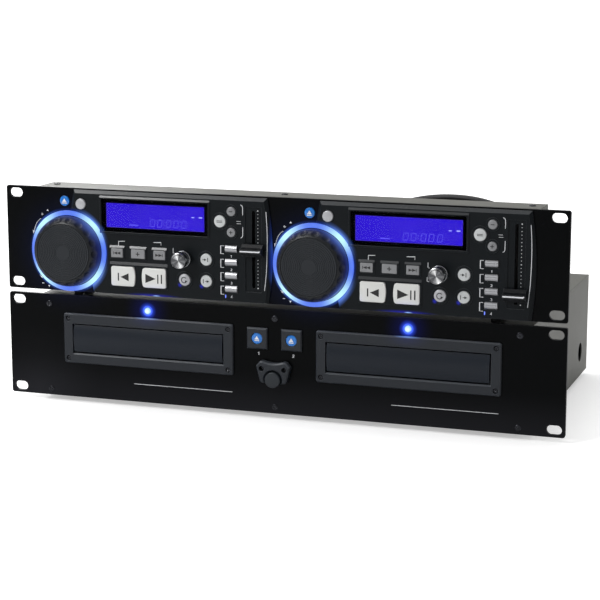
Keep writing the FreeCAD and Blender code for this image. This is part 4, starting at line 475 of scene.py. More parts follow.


# screen colours from 0 to 255; surface says what is taken where a value is left out
# the edge colour paints edges paler, partly as rubbed paint and partly as a painted highlight; the slope
# colour is a painted highlight on faces that lean back
looks = {
    "panelPaint": {"colour": (4, 5, 6), "roughness": 0.3, "specular": 0.055, "grainScale": 1400.0,
                   "bump": 0.12, "edgeRadius": 0.0004, "edge": (96, 98, 102), "wear": 0.45, "dust": 0.1},
    "casePaint": {"colour": (106, 106, 101), "cloud": (99, 99, 95), "roughness": 0.46, "metal": 0.25,
                  "specular": 0.35, "grainScale": 2200.0, "bump": 0.1, "edgeRadius": 0.0006,
                  "edge": (160, 160, 156), "dust": 0.25},
    "zincSheet": {"colour": (120, 121, 120), "roughness": 0.42, "metal": 0.8, "stretch": (1, 12, 12),
                  "grainScale": 160.0},
    "fasciaPlastic": {"colour": (16, 20, 23), "roughness": 0.4, "specular": 0.12, "slopeCoat": 0.7,
                      "slope": (60, 63, 66), "slopeSheen": 0.4, "grainScale": 2600.0, "bump": 0.2,
                      "edgeRadius": 0.0004, "edge": (105, 112, 118), "wear": 0.32},
    "bezelPlastic": {"colour": (31, 35, 41), "roughness": 0.4, "specular": 0.3, "slopeCoat": 0.2,
                     "slope": (78, 82, 88), "slopeSheen": 0.5, "grainScale": 2300.0, "bump": 0.2,
                     "edgeRadius": 0.0005, "edge": (105, 110, 118), "wear": 0.5},
    "flapPlastic": {"colour": (21, 27, 36), "roughness": 0.36, "specular": 0.24, "grainScale": 2300.0,
                    "bump": 0.12, "edgeRadius": 0.0005, "edge": (80, 86, 94), "wear": 0.4},
    "knobMetal": {"colour": (158, 160, 163), "roughness": 0.26, "metal": 1.0, "grainScale": 900.0,
                  "stretch": (6, 1, 6), "bump": 0.05, "wear": 0.1},
    "paleKey": {"colour": (210, 211, 208), "cloud": (200, 201, 199), "roughness": 0.35, "bump": 0.05,
                "coat": 0.3, "wear": 0.15, "edge": (235, 236, 232), "dust": 0.0},
    "greyKey": {"colour": (132, 133, 135), "cloud": (122, 123, 126), "roughness": 0.36, "metal": 0.25,
                "bump": 0.06, "wear": 0.4, "edge": (190, 192, 193)},
    "litKey": {"colour": (190, 193, 193), "cloud": (180, 183, 184), "roughness": 0.3, "coat": 0.4,
               "bump": 0.03, "wear": 0.15, "edge": (226, 230, 226)},
    "pearlKey": {"colour": (176, 177, 180), "cloud": (166, 167, 171), "roughness": 0.34, "metal": 0.3,
                 "bump": 0.04, "wear": 0.2, "edge": (215, 216, 220)},
    "silverKey": {"colour": (170, 171, 174), "roughness": 0.32, "metal": 1.0, "bump": 0.03, "wear": 0.2,
                  "edge": (235, 236, 238)},
    "darkKey": {"colour": (33, 38, 43), "roughness": 0.42, "specular": 0.35, "grainScale": 2500.0,
                "bump": 0.15, "edge": (105, 110, 116), "wear": 0.4},
    "keySkirt": {"colour": (12, 13, 15), "roughness": 0.5, "specular": 0.25, "bump": 0.05, "wear": 0.2,
                 "edge": (60, 64, 70), "dust": 0.0},
    "blueKey": {"colour": (14, 112, 200), "roughness": 0.24, "bump": 0.03, "coat": 0.4, "wear": 0.1},
    "faderPlastic": {"colour": (13, 15, 18), "roughness": 0.38, "specular": 0.28, "bump": 0.05,
                     "wear": 0.4, "edge": (120, 122, 128), "edgeRadius": 0.0005},
    "footRubber": {"colour": (24, 24, 25), "roughness": 0.8, "grainScale": 1200.0, "bump": 0.4},
    "leadSheath": {"colour": (20, 20, 22), "roughness": 0.5, "specular": 0.4, "grainScale": 900.0,
                   "bump": 0.15},
    "plugPlastic": {"colour": (26, 26, 28), "roughness": 0.45, "grainScale": 1500.0, "bump": 0.2},
    "screwSteel": {"colour": (46, 47, 51), "roughness": 0.25, "metal": 0.9, "bump": 0.1, "wear": 0.6,
                   "edge": (150, 152, 158)},
    "printWhite": {"colour": (222, 224, 228), "roughness": 0.55, "bump": 0.02, "wear": 0.0, "dust": 0.0},
    "printDark": {"colour": (16, 16, 18), "roughness": 0.5, "bump": 0.02, "wear": 0.0},
    "maskBlack": {"colour": (5, 5, 7), "roughness": 0.12, "specular": 0.2, "bump": 0.0, "wear": 0.1},
    "whiteCollar": {"colour": (212, 211, 205), "roughness": 0.4, "bump": 0.04},
    "redCollar": {"colour": (168, 26, 24), "roughness": 0.4, "bump": 0.04},
    "nickel": {"colour": (190, 188, 182), "roughness": 0.25, "metal": 1.0, "wear": 0.2}
}
skins = {name: surface(name, look) for name, look in looks.items()}
print("materials are made")

# lead between the two units: the same points as its solid, in metres

lead = {"diameter": 5.6 * mm, "length": 0.574, "exit": (0.030, -0.0490, 0.140),
        "end": (0.096, 0.1585, 0.028),
        "route": ((0.030, -0.0125, 0.140), (0.046, 0.0135, 0.157), (0.092, 0.0185, 0.1723),
                  (0.146, 0.0125, 0.1718), (0.186, 0.0095, 0.152), (0.201, 0.0145, 0.118),
                  (0.190, 0.0315, 0.097), (0.160, 0.0535, 0.0949), (0.118, 0.0795, 0.0954),
                  (0.094, 0.1175, 0.0952), (0.090, 0.1565, 0.0951), (0.089, 0.1835, 0.092),
                  (0.090, 0.2025, 0.073), (0.092, 0.2030, 0.046), (0.096, 0.1835, 0.028)),
        "plugs": {"upper": (0.030, -0.0770, 0.140), "lower": (0.096, 0.1305, 0.028)}}


def makeLead():
    curve = bpy.data.curves.new("linkLead", "CURVE")
    curve.dimensions = "3D"
    curve.bevel_depth, curve.bevel_resolution = lead["diameter"] / 2, 8
    curve.resolution_u = 16
    curve.use_fill_caps = True
    line = curve.splines.new("NURBS")
    points = [lead["exit"], *lead["route"], lead["end"]]
    line.points.add(len(points) - 1)
    for point, place in zip(line.points, points):
        point.co = (*place, 1.0)
    line.order_u = 3
    line.use_endpoint_u = True
    curve.materials.append(skins["leadSheath"])
    piece = newObject("linkLead", curve)
    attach(piece, "chassis")
    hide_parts("link_cable")
    return piece


# grips of the plugs, then ribbed necks that taper to the lead: (radius, reach) in mm
plugProfile = [(0.0, 0.0), (6.2, 0.0), (6.5, 0.4), (6.5, 3.6), (6.1, 4.2), (6.1, 5.0), (6.5, 5.4),
               (6.5, 6.4), (6.1, 6.8), (6.1, 7.6), (6.5, 8.0), (6.5, 9.0), (6.1, 9.4), (6.1, 10.2),
               (6.5, 10.6), (6.5, 11.6), (6.1, 12.0), (6.1, 12.8), (6.5, 13.2), (6.5, 18.8),
               (5.6, 19.7), (4.2, 20.0), (0.0, 20.0)]
neckProfile = [(2.8, 19.9), (4.15, 19.9), (4.15, 21.2), (3.5, 21.35), (3.5, 21.75), (3.95, 21.9),
               (3.85, 23.1), (3.35, 23.25), (3.35, 23.65), (3.7, 23.8), (3.55, 25.0),
               (3.2, 25.15), (3.2, 25.5), (3.4, 25.65), (3.2, 27.0), (3.0, 27.7), (2.85, 27.9),
               (2.8, 27.9)]


def makePlugs():
    grips, necks = [], []
    for end, place in lead["plugs"].items():
        for kind, profile, kept in (("plugGrip", plugProfile, grips), ("plugNeck", neckProfile, necks)):
            mesh = lathe("%s_%s" % (kind, end), [(r, -reach) for r, reach in profile], Vector(place), 64)
            kept.append(addPiece(mesh, skins["plugPlastic"], 35))
    for grip in grips:
        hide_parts("cable_plugs")
    return grips + necks


linkLead = makeLead()
plugPieces = makePlugs()
print("lead is laid")

# finishes of the solids that keep their own shape

finishes = {
    "panelPaint": ["control_front_plate", "player_front_plate"],
    "casePaint": ["control_case", "player_cover"],
    "zincSheet": ["player_chassis", "disc_drives"],
    "fasciaPlastic": ["deck_fascias"],
    "bezelPlastic": ["tray_bezels"],
    "flapPlastic": ["disc_tray_1", "disc_tray_2"],
    "footRubber": ["rubber_feet"],
    "faderPlastic": ["pitch_fader_1", "pitch_fader_2"],
}
for skin, names in finishes.items():
    for name in names:
        dress(name, skins[skin])


inlet = {"x": 150.0, "up": 56.0, "half": (14.4, 10.4), "floor": 112.5, "pins": 14.0}
# in metres: y from which boards are green, z between the two units, y near the rear wall of each
boards = {"greenFrom": -0.106, "between": 0.0955, "playerWall": 0.1275, "controlWall": -0.082}


def boardSkin():
    # black in the fader channels and the mains inlet, green in the housing, bright metal on the sockets
    material, tree, shader = newMaterial("boardSkin")
    place = objectPlace(tree)
    parts = axes(tree, place)
    inside = mathNode(tree, "GREATER_THAN", parts["Y"], boards["greenFrom"])
    upper = mathNode(tree, "GREATER_THAN", parts["Z"], boards["between"])
    wall = mathNode(tree, "MULTIPLY_ADD", upper, boards["controlWall"] - boards["playerWall"],
                    boards["playerWall"])
    behind = mathNode(tree, "GREATER_THAN", parts["Y"], wall)
    beside = mathNode(tree, "COMPARE", parts["X"], inlet["x"] * mm, inlet["half"][0] * mm)
    level = mathNode(tree, "COMPARE", parts["Z"], playerLow + inlet["up"] * mm, inlet["half"][1] * mm)
    within = mathNode(tree, "MULTIPLY", beside, level)
    fine = noiseNode(tree, place, 420.0, 3.0)
    green = mixColour(tree, fine, tone(18, 60, 34), tone(38, 96, 56))
    black = mixColour(tree, fine, tone(5, 6, 7), tone(11, 12, 14))
    metal = mixColour(tree, fine, tone(168, 166, 160), tone(196, 194, 188))
    board = mixColour(tree, within, mixColour(tree, inside, black, green), black)
    fill(tree, shader, {"Base Color": mixColour(tree, behind, board, metal),
                        "Metallic": mathNode(tree, "MULTIPLY", behind, 0.9),
                        "Roughness": mathNode(tree, "MULTIPLY_ADD", fine, 0.2, 0.3)})
    return material


def makeInletPins():
    pins = [bar(side * 7.0, -2.0, 2.0, 4.0) for side in (-1, 1)] + [bar(0.0, 2.5, 2.0, 4.0)]
    tip = Vector((inlet["x"] * mm, (inlet["floor"] + inlet["pins"]) * mm, playerLow + inlet["up"] * mm))
    addPiece(slab("inletPins", pins, tip, inlet["pins"]), skins["nickel"])


jacks = {"first": -120.0, "step": 18.0, "count": 4, "up": 30.0, "barrel": 4.5, "collar": 6.2,
         "wall": 128.5, "reach": 8.0, "face": 3.5, "bore": 1.6}


def makeJackCollars():
    # insulating collars at the foot of the audio sockets, one colour for each channel
    foot, rim = jacks["barrel"] + 0.02, jacks["collar"]
    profile = [(foot, 0.0), (rim, 0.0), (rim, 0.9), (rim - 0.35, 1.25), (jacks["barrel"] + 0.35, 1.35),
               (foot, 1.2), (foot, 0.0)]
    for index in range(jacks["count"]):
        place = Vector(((jacks["first"] + index * jacks["step"]) * mm, jacks["wall"] * mm,
                        playerLow + jacks["up"] * mm))
        mesh = lathe("jackCollar_%d" % (index + 1), [(r, -reach) for r, reach in profile], place, 48)
        skin = skins["whiteCollar" if index % 2 == 0 else "redCollar"]
        addPiece(mesh, skin)
        for kind, radius, proud, face in (("Face", jacks["face"], 0.06, skin),
                                          ("Bore", jacks["bore"], 0.1, skins["printDark"])):
            end = place + Vector((0, (jacks["reach"] + proud) * mm, 0))
            outline = disc(0, 0, radius, 32)
            addPiece(slab("jack%s_%d" % (kind, index + 1), [outline], end, proud), face)


dress("circuit_boards", boardSkin())
makeInletPins()
makeJackCollars()

# light that the rings, the lamps and the floor throw on what stands round them, in screen colours

# bands round each jog wheel: radius, reach, power, whether only beside the ring's lamps, colour
bands = {
    "panelPaint": ((34.3, 2.6, 1.4, False, (16, 34, 92)), (34.3, 2.6, 1.4, True, (60, 96, 190)),
                   (34.3, 30.0, 2.6, False, (3, 6, 28))),
    "fasciaPlastic": ((34.3, 3.4, 1.6, False, (22, 36, 120)), (34.3, 6.0, 1.3, True, (96, 140, 245))),
    "wheelShell": ((30.8, 5.5, 2.0, False, (24, 32, 96)), (30.8, 5.5, 2.0, True, (66, 92, 170))),
}
# spots: where, (x, up, height) of the middle, inner and outer reach, power, squash, colour
even = (1, 1, 1)
spots = {
    "panelPaint": (
        ("tray", (0, trayLampUp, 0), 2.6, 5.0, 1.2, even, (96, 130, 255)),
        ("tray", (0, trayLampUp, 0), 2.4, 8.0, 1.6, even, (46, 84, 255)),
        ("tray", (0, trayLampUp, 0), 0.0, 24.0, 2.4, even, (9, 14, 84)),
        ("player", (0, 0, 0), 0.0, 36.0, 1.3, (0.03, 1, 1), (25, 25, 28)),
        ("player", (-215.0, 4.0, 0), 0.0, 60.0, 1.3, even, (22, 22, 25))),
    "fasciaPlastic": (
        ("deck", (80.8, 0.9, 3.2), 0.8, 4.2, 1.3, (1, 0.5, 3.4), (176, 222, 255)),
        ("deck", (78.0, 0.4, 3.0), 0.0, 30.0, 1.8, (1, 1, 9), (36, 38, 205)),
        ("deck", (102.3, 11.9, 4.4), 0.0, 2.5, 1.4, even, (26, 32, 176)),
        ("deck", (121.6, 11.9, 4.4), 0.0, 2.5, 1.4, even, (26, 32, 176)),
        ("deck", (102.3, 29.9, 4.4), 0.0, 2.5, 1.4, even, (26, 32, 176)),
        ("firstDeck", (182.4, 44.0, 2.0), 0.0, 42.0, 1.4, (13, 1, 1), (20, 44, 120))),
    "bezelPlastic": (
        ("tray", (0, 73.0, 4.6), 0.4, 8.5, 1.5, (0.62, 1, 6.0), (112, 158, 245)),
        ("tray", (0, 73.0, 4.6), 0.2, 4.0, 1.2, (0.8, 1, 5.0), (90, 110, 160)),
        ("tray", (0, 72.0, 5.0), 0.0, 17.0, 2.0, (0.7, 1, 1.6), (14, 20, 66))),
    "paleKey": (
        ("deck", (79.0, 6.0, 5.5), 0.0, 15.0, 1.8, (0.8, 1, 1.7), (26, 26, 120)),
        ("deck", (40.0, 9.0, 5.5), 0.0, 9.0, 1.8, even, (16, 20, 90))),
}


def ringLight(material, deck, radius, reach, power):
    return placeGroup(material.node_tree, ringGroup, Centre=onDeck(deck, 0, ringUp),
                      Radius=radius * mm, Reach=reach * mm, Power=power)


def spotCentres(where, place):
    x, up, height = place
    if where == "player":
        return [onPlayer(x, up, height)]
    if where == "firstDeck":
        return [onDeck(1, x, up, height)]
    return [onPlayer(trayX[deck] + x, up, height) if where == "tray" else onDeck(deck, x, up, height)
            for deck in (1, 2)]


def spillOn(material):
    masks = []
    for radius, reach, power, hot, colour in bands.get(material.name, ()):
        for deck in (1, 2):
            light = ringLight(material, deck, radius, reach, power)
            lit = mathNode(material.node_tree, "MULTIPLY", light["Band"], light["Hot"] if hot else 1.0)
            masks.append((lit, tone(*colour)))
    for where, place, inner, outer, power, squash, colour in spots.get(material.name, ()):
        for centre in spotCentres(where, place):
            masks.append((spotMask(material, centre, inner, outer, power, squash), tone(*colour)))
    addLight(material, masks)


for skin in spots:
    spillOn(skins[skin])
print("finishes are on")

# key caps: soft crowned caps in place of the plain keys, with the same flange and stem behind

capLooks = (
    ("cue_key", {"skin": "paleKey", "slot": "pale_key", "corner": 1.7, "crown": 0.4, "edge": 0.8,
                 "bulge": 1.2}),
    ("play_key", {"skin": "paleKey", "slot": "pale_key", "corner": 1.7, "crown": 0.4, "edge": 0.8,
                  "bulge": -1.2}),
    ("search_back_key skip_ten_key search_forward_key",
     {"skin": "greyKey", "slot": "silver_key", "corner": 0.6, "crown": 0.2, "edge": 0.4}),
    ("mode_key_a mode_key_b mode_key_c mode_key_d",
     {"skin": "silverKey", "slot": "silver_key", "crown": 1.6, "barrel": True}),
    ("loop_in_key loop_out_key pitch_key", {"skin": "litKey", "slot": "lit_key", "crown": 0.6, "edge": 0.7}),
    ("browse_key", {"skin": "pearlKey", "slot": "lit_key", "crown": 0.5, "edge": 0.7}),
    ("reloop_key", {"skin": "pearlKey", "slot": "silver_key", "crown": 0.8, "edge": 0.8}),
    ("bend_down_key bend_up_key", {"skin": "greyKey", "slot": "silver_key", "crown": 0.4, "edge": 0.6}),
    ("tray_key", {"skin": "blueKey", "slot": "blue_key", "crown": 0.3, "edge": 0.5, "plate": True}),
    ("eject_key", {"skin": "blueKey", "slot": "blue_key", "crown": 0.25, "edge": 0.5, "plate": True}),
    ("power_key", {"skin": "darkKey", "slot": "dark_key", "crown": 0.4, "edge": 0.9, "plate": True}),
)
caps = {name: look for names, look in capLooks for name in names.split()}
behind = {"lip": 1.0, "flange": 0.8, "above": 0.05, "stem": 2.0, "back": 0.5, "plateBack": -4.1}


def keyKind(name):
    return name.rsplit("_", 1)[0] if name[-1] in "12" else name


def keyPlace(name):
    # middle of the key's front; half width and half height of its cap; how far back stem and flange are
    low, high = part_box(name)
    half, tall = (high.x - low.x) / 2 / mm - behind["lip"], (high.z - low.z) / 2 / mm - behind["lip"]
    start = behind["plateBack" if caps[keyKind(name)].get("plate") else "back"]
    return frontMiddle(name), half, tall, (high.y - low.y) / mm, start - (plateFront - low.y) / mm


def capEdge(crown, edge, steps=6):
    # (inset, reach) round the front edge of a cap
    turns = [math.radians(90 * i / steps) for i in range(steps)]
    return [(edge * (1 - math.cos(turn)), -crown - edge * (1 - math.sin(turn))) for turn in turns]


def roundCap(name, look):
    middle, radius, _, depth, back = keyPlace(name)
    crown, edge = look["crown"], look["edge"]
    seat, wide = back + behind["flange"], radius + behind["lip"]
    profile = [(0.0, -depth), (behind["stem"], -depth), (behind["stem"], back), (wide, back), (wide, seat),
               (radius, seat)]
    profile += [(radius - inset, reach) for inset, reach in capEdge(crown, edge)]
    shares = (1.0, 0.9, 0.75, 0.6, 0.45, 0.3, 0.15)
    profile += [((radius - edge) * share, -crown * share ** 2) for share in shares]
    return lathe(name + "Cap", profile + [(0.0, 0.0)], middle, 72)


def evenly(outline, counts):
    # extra points along the sides of an outline, as many as counts says
    points = []
    for (x, z), after, count in zip(outline, outline[1:] + outline[:1], counts):
        points += [(x + (after[0] - x) * i / count, z + (after[1] - z) * i / count) for i in range(count)]
    return points


def capBack(name):
    # flange and stem of a block key
    middle, half, tall, depth, back = keyPlace(name)
    wide, high = 2 * (half + behind["lip"]), 2 * (tall + behind["lip"])
    origin, end = middle + Vector((0, -back, 0)) * mm, middle + Vector((0, depth, 0)) * mm
    return [slab(name + "Flange", [bar(0, 0, wide, high)], origin, behind["flange"]),
            slab(name + "Stem", [disc(0, 0, behind["stem"], 24)], end, depth + back)]


def closeCap(name, points, loops):
    # skin over the loops of a block key's face, closed at both ends, with flange and stem
    count = len(points) // loops
    last = len(points) - count
    faces = skinLoops(loops, count) + [list(range(count)), list(range(last, len(points)))]
    return joinMeshes(name + "Cap", [meshFrom(name + "Face", points, faces)] + capBack(name))


def boxCap(name, look):
    middle, half, tall, _, back = keyPlace(name)
    crown, edge, corner, bulge = look["crown"], look["edge"], look["corner"], look.get("bulge", 0.0)
    half -= abs(bulge) / 2
    shift = -bulge / 2
    rows = [(0.0, back + 0.4)] + capEdge(crown, edge)
    rows += [(edge + (tall - edge) * share, None) for share in (0, 0.1, 0.2, 0.35, 0.5, 0.65, 0.8, 0.93)]
    first = roundedBox(0, 0, 2 * half, 2 * tall, corner, 4)
    counts = [max(1, int(math.dist(a, b) / 1.5)) for a, b in zip(first, first[1:] + first[:1])]
    points = []
    for inset, reach in rows:
        outline = roundedBox(0, 0, 2 * (half - inset), 2 * (tall - inset), max(corner - inset, 0.05), 4)
        for x, z in evenly(outline, counts):
            out = reach
            if reach is None:
                out = -crown * max(abs(x) / (half - edge), abs(z) / (tall - edge)) ** 3
            if x * bulge > 0:
                x += bulge * (1 - (z / tall) ** 2) * abs(x) / half
            points.append(middle + Vector((x + shift, -out, z)) * mm)
    return closeCap(name, points, len(rows))


def barrelCap(name, look):
    # its face is a low barrel whose axis runs from side to side
    middle, half, tall, _, back = keyPlace(name)
    crown = look["crown"]
    line = [(-tall, back + 0.4), (-tall, -crown - 0.25), (-tall + 0.12, -crown - 0.05)]
    line += [(tall * share / 10, -crown * (share / 10) ** 2) for share in range(-9, 10)]
    line += [(tall - 0.12, -crown - 0.05), (tall, -crown - 0.25), (tall, back + 0.4)]
    points = []
    for x, inset in ((-half, 0.25), (-half + 0.25, 0.0), (half - 0.25, 0.0), (half, 0.25)):
        points += [middle + Vector((x, inset - reach, z * (1 - inset / tall))) * mm for z, reach in line]
    return closeCap(name, points, 4)


def makeCaps():
    for name in list(nodes):
        if keyKind(name) not in caps:
            continue
        look = caps[keyKind(name)]
        shape = barrelCap if look.get("barrel") else boxCap if "corner" in look else roundCap
        mesh = shape(name, look)
        middle, _, _, _, back = keyPlace(name)
        seat = middle.y - (back + behind["flange"] + behind["above"]) * mm
        twoSkins(mesh, skins[look["skin"]], skins["keySkirt"], lambda place: place.y > seat)
        piece = addPiece(mesh, None, 40, name + "_body")
        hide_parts(name)


makeCaps()
print("key caps are on")

# signs: plain marks only, each a thin layer on its surface


def skipSign(way):
    return [triangle(way * -1.7, 0, way * 3.2, 2.5), triangle(way * 1.2, 0, way * 3.2, 2.5),
            bar(way * 3.0, 0, 0.45, 2.5)]


ejectSign = [[(-2.1, -0.9), (2.1, -0.9), (0, 2.1)], bar(0, -1.75, 4.2, 0.8)]
keySigns = {
    "play_key": [triangle(-2.6, -0.4, 9.2, 7.6), bar(4.0, -0.4, 1.0, 7.6), bar(7.2, -0.4, 1.0, 7.6)],
    "cue_key": [triangle(1.6, -0.4, -7.4, 6.6), bar(-4.0, -0.4, 1.1, 6.6)],
    "search_back_key": skipSign(-1),
    "search_forward_key": skipSign(1),
    "skip_ten_key": [bar(0, 0, 3.4, 0.75), bar(0, 0, 0.75, 3.4)],
    "loop_in_key": [bar(1.8, 0, 0.55, 3.4), triangle(-0.2, 0, 2.2, 2.2), bar(-1.9, 0, 1.6, 0.5)],
    "loop_out_key": [bar(-2.2, 0, 0.55, 3.4), triangle(1.9, 0, 2.2, 2.2), bar(0.2, 0, 1.6, 0.5)],
    "reloop_key": [stroke(arcPath(0, 0, 2.3, 40, 320, 20), 0.6), [(1.1, -2.4), (3.0, -0.6), (0.8, -0.2)]],
    "pitch_key": [bar(0, 0.55, 4.6, 0.5), bar(0, -0.55, 4.6, 0.5)],
    "bend_down_key": [bar(0, 0, 3.0, 0.6)],
    "bend_up_key": [bar(0, 0, 3.0, 0.6), bar(0, 0, 0.6, 3.0)],
    "tray_key": ejectSign,
    "eject_key": ejectSign,
}
# lines of the plain digits, as shares of their height
strokeDigits = {
    "1": ((-0.3, 0.3), (0.05, 0.5), (0.05, -0.5)),
    "2": ((-0.3, 0.3), (-0.1, 0.5), (0.2, 0.45), (0.3, 0.2), (-0.3, -0.5), (0.33, -0.5)),
    "3": ((-0.3, 0.45), (0.1, 0.5), (0.3, 0.25), (0.0, 0.02), (0.3, -0.25), (0.1, -0.5), (-0.3, -0.45)),
    "4": ((0.15, -0.5), (0.15, 0.5), (-0.32, -0.2), (0.36, -0.2)),
}
# mm: a sign on a key starts inside its cap, a print just under its panel's face
signs = {"sunk": 0.25, "thick": 0.28, "printSunk": 0.01, "printThick": 0.06, "fascia": 4.0}
pitchScale = {"marks": 23, "x": 171.0, "top": 76.8, "length": 63.7, "small": 0.34, "large": 0.5}


def makeKeySigns():
    for name in list(nodes):
        kind = keyKind(name)
        if kind not in keySigns:
            continue
        origin = frontMiddle(name) + Vector((0, signs["sunk"] * mm, 0))
        skin = skins["printWhite" if keySigns[kind] is ejectSign else "printDark"]
        addPiece(slab(name + "Sign", keySigns[kind], origin, signs["thick"]), skin,
                 body=name + "_body")


def digit(text, x, z, size, width):
    return [stroke([(x + px * size, z + pz * size) for px, pz in strokeDigits[text]], width)]


def fasciaMarks():
    side = [(178.0, 76.4), (178.9, 62.0), (179.0, 47.5), (178.3, 28.0), (176.6, 11.4)]
    marks = [stroke([(47.3, 42.1), (47.4, 45.6), (53.1, 45.9)], 0.45),
             stroke([(79.0, 46.2), (85.7, 46.5), (85.7, 44.1)], 0.45),
             stroke([(96.5, 42.6), (96.4, 38.6), (97.8, 38.1)], 0.4),
             stroke([(95.9, 31.0), (95.9, 27.6), (97.6, 27.2)], 0.4),
             stroke(throughPoints(side), 0.5), bar(154.3, 67.5, 3.6, 0.35), bar(154.6, 65.6, 3.6, 0.35)]
    for top, low in ((46.7, 40.2), (35.6, 28.8), (24.5, 17.6), (13.3, 6.45)):
        marks.append(stroke([(141.3, top), (138.6, top), (138.6, low), (141.3, low)], 0.5))
    for near, far, way in ((81.1, 72.6, 1), (53.9, 62.8, -1)):
        hook = [(156.0, near), (157.3, near - way * 0.6), (157.9, near - way * 2.2), (157.9, far)]
        marks.append(stroke(hook, 0.5))
    last = pitchScale["marks"] - 1
    for number in range(pitchScale["marks"]):
        radius = pitchScale["large" if number in (0, last / 2, last) else "small"]
        up = pitchScale["top"] - number * pitchScale["length"] / last
        marks.append(disc(pitchScale["x"], up, radius, 10))
    for number, up in zip("1234", (38.2, 27.1, 16.0, 4.7)):
        marks += digit(number, 147.8, up, 2.0, 0.32)
    return marks


def panelMarks():
    turn = [(-25.7, 60.8), (-27.8, 59.3), (-30.4, 55.9), (-32.7, 49.3)]
    return [stroke(throughPoints(turn), 0.4), [(-33.6, 50.2), (-31.6, 50.6), (-33.2, 47.6)],
            stroke([(-28.1, 12.2), (-26.7, 10.9)], 0.4), [(-27.6, 10.6), (-26.4, 12.0), (-25.4, 9.6)],
            [(-20.4, 67.5), (-18.4, 67.5), (-19.4, 69.2)], [(-20.7, 3.8), (-18.7, 3.8), (-19.7, 2.1)],
            bar(-24.6, 64.5, 2.0, 0.5), bar(-24.6, 64.5, 0.5, 2.0), bar(-25.3, 5.3, 2.0, 0.5)]


def makePanelSigns():
    rows = []
    for deck in (1, 2):
        face = onDeck(deck, 0, 0, signs["fascia"])
        rows += [("fasciaMarks_%d" % deck, "fascia_plastic", face, fasciaMarks()),
                 ("panelMarks_%d" % deck, "panel_paint", onDeck(deck, 0, 0), panelMarks())]
    rows.append(("playerMarks", "panel_paint", onPlayer(0, 0),
                 [bar(-81.9, 15.4, 88.9, 0.45), bar(143.7, 15.4, 88.1, 0.45)]
                 + digit("1", -14.0, 49.8, 2.4, 0.42) + digit("2", 16.1, 49.6, 2.4, 0.42)))
    for name, slot, face, outlines in rows:
        origin = face + Vector((0, signs["printSunk"] * mm, 0))
        addPiece(slab(name, outlines, origin, signs["printThick"]), skins["printWhite"])


makeKeySigns()
makePanelSigns()
print("signs are on")

# jog wheels, turned finely, with dimples pressed into the shoulder and grooves in the pad

wheel = {"segments": 540, "shoulderSteps": 36, "grooves": 10, "grooveWidth": 0.6, "grooveDepth": 0.3,
         "dimples": 18, "ballAt": 30.94, "ballLift": 12.59, "ballRadius": 5.6,
         "padRadius": 23.55, "padReach": 12.0, "grooveFrom": 7.9, "groovePitch": 1.55, "height": 12.4,
         "shell": {"colour": (30, 32, 35), "roughness": 0.36, "specular": 0.2, "grainScale": 2500.0,
                   "bump": 0.04, "wear": 0.2, "edge": (84, 90, 98)},
         "pad": {"colour": (37, 40, 44), "roughness": 0.4, "specular": 0.22, "grainScale": 3500.0,
                 "bump": 0.05, "wear": 0.3, "edge": (82, 86, 92), "edgeRadius": 0.0001}}


def wheelProfile():
    profile = [(0.0, -9.2), (4.0, -9.2), (4.0, 0.6), (7.5, 0.6), (7.5, 8.7), (22.5, 8.7), (27.3, 3.8),
               (27.3, 0.7), (27.5, 0.6), (29.6, 0.6), (29.9, 0.9), (29.9, 3.4)]
    profile += throughPoints([(29.9, 3.8), (29.15, 7.24), (26.9, 10.81), (24.5, 12.3)],
                             wheel["shoulderSteps"] // 3)
    profile += [(24.35, 12.4), (24.1, 12.3), (24.05, 11.8), (23.5, 11.7), (23.5, 12.25), (23.35, 12.4)]
    half, top = wheel["grooveWidth"] / 2, wheel["height"]
    for number in reversed(range(wheel["grooves"])):
        radius = wheel["grooveFrom"] + number * wheel["groovePitch"]
        profile += [(radius + half, top), (radius + half * 0.4, top - wheel["grooveDepth"]),
                    (radius - half * 0.4, top - wheel["grooveDepth"]), (radius - half, top)]
    profile += [(7.0, 12.4), (6.8, 12.15), (6.5, 12.15), (6.3, 12.4), (3.0, 12.4), (0.0, 12.4)]
    return profile


def pressDimples(place):
    x, z, reach = place
    radius = math.hypot(x, z)
    if reach < 3.7 or radius < 24.0:
        return place
    pitch = 2 * math.pi / wheel["dimples"]
    number = round(math.atan2(z, x) / pitch)
    centre = Vector((wheel["ballAt"] * math.cos(number * pitch),
                     wheel["ballAt"] * math.sin(number * pitch), wheel["ballLift"]))
    away = Vector(place) - centre
    if away.length >= wheel["ballRadius"]:
        return place
    pressed = centre + away.normalized() * wheel["ballRadius"]
    return (pressed.x, pressed.y, min(pressed.z, reach))


def makeWheels():
    shell, pad = surface("wheelShell", wheel["shell"]), surface("wheelPad", wheel["pad"])
    spillOn(shell)
    for deck in (1, 2):
        centre = onDeck(deck, 0, ringUp)
        mesh = lathe("jogWheel_%d" % deck, wheelProfile(), centre, wheel["segments"], pressDimples)
        twoSkins(mesh, shell, pad, lambda place: -(place - centre).y > wheel["padReach"] * mm
                 and math.hypot((place - centre).x, (place - centre).z) < wheel["padRadius"] * mm)
        piece = addPiece(mesh, None, 32, "jog_wheel_%d_body" % deck)
        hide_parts("jog_wheel_%d" % deck)


makeWheels()
print("jog wheels are turned")

# track knobs: a skirt, a waist and a head with a spun face

knobProfile = [(0.0, -9.2), (3.0, -9.2), (3.0, 4.5), (6.7, 4.5), (7.0, 4.8), (7.0, 8.7), (6.7, 9.1),
               (6.15, 9.15), (6.15, 9.95), (6.4, 10.0), (6.65, 10.25), (6.65, 11.9), (6.5, 12.05),
               (6.5, 12.35), (6.65, 12.5), (6.65, 17.1), (6.5, 17.6), (6.1, 17.95), (5.7, 18.0),
               (5.5, 17.85), (5.3, 17.85), (5.1, 17.95), (4.0, 17.93), (2.0, 17.88), (0.9, 17.85),
               (0.6, 17.8), (0.0, 17.8)]
faceReach = 17.6


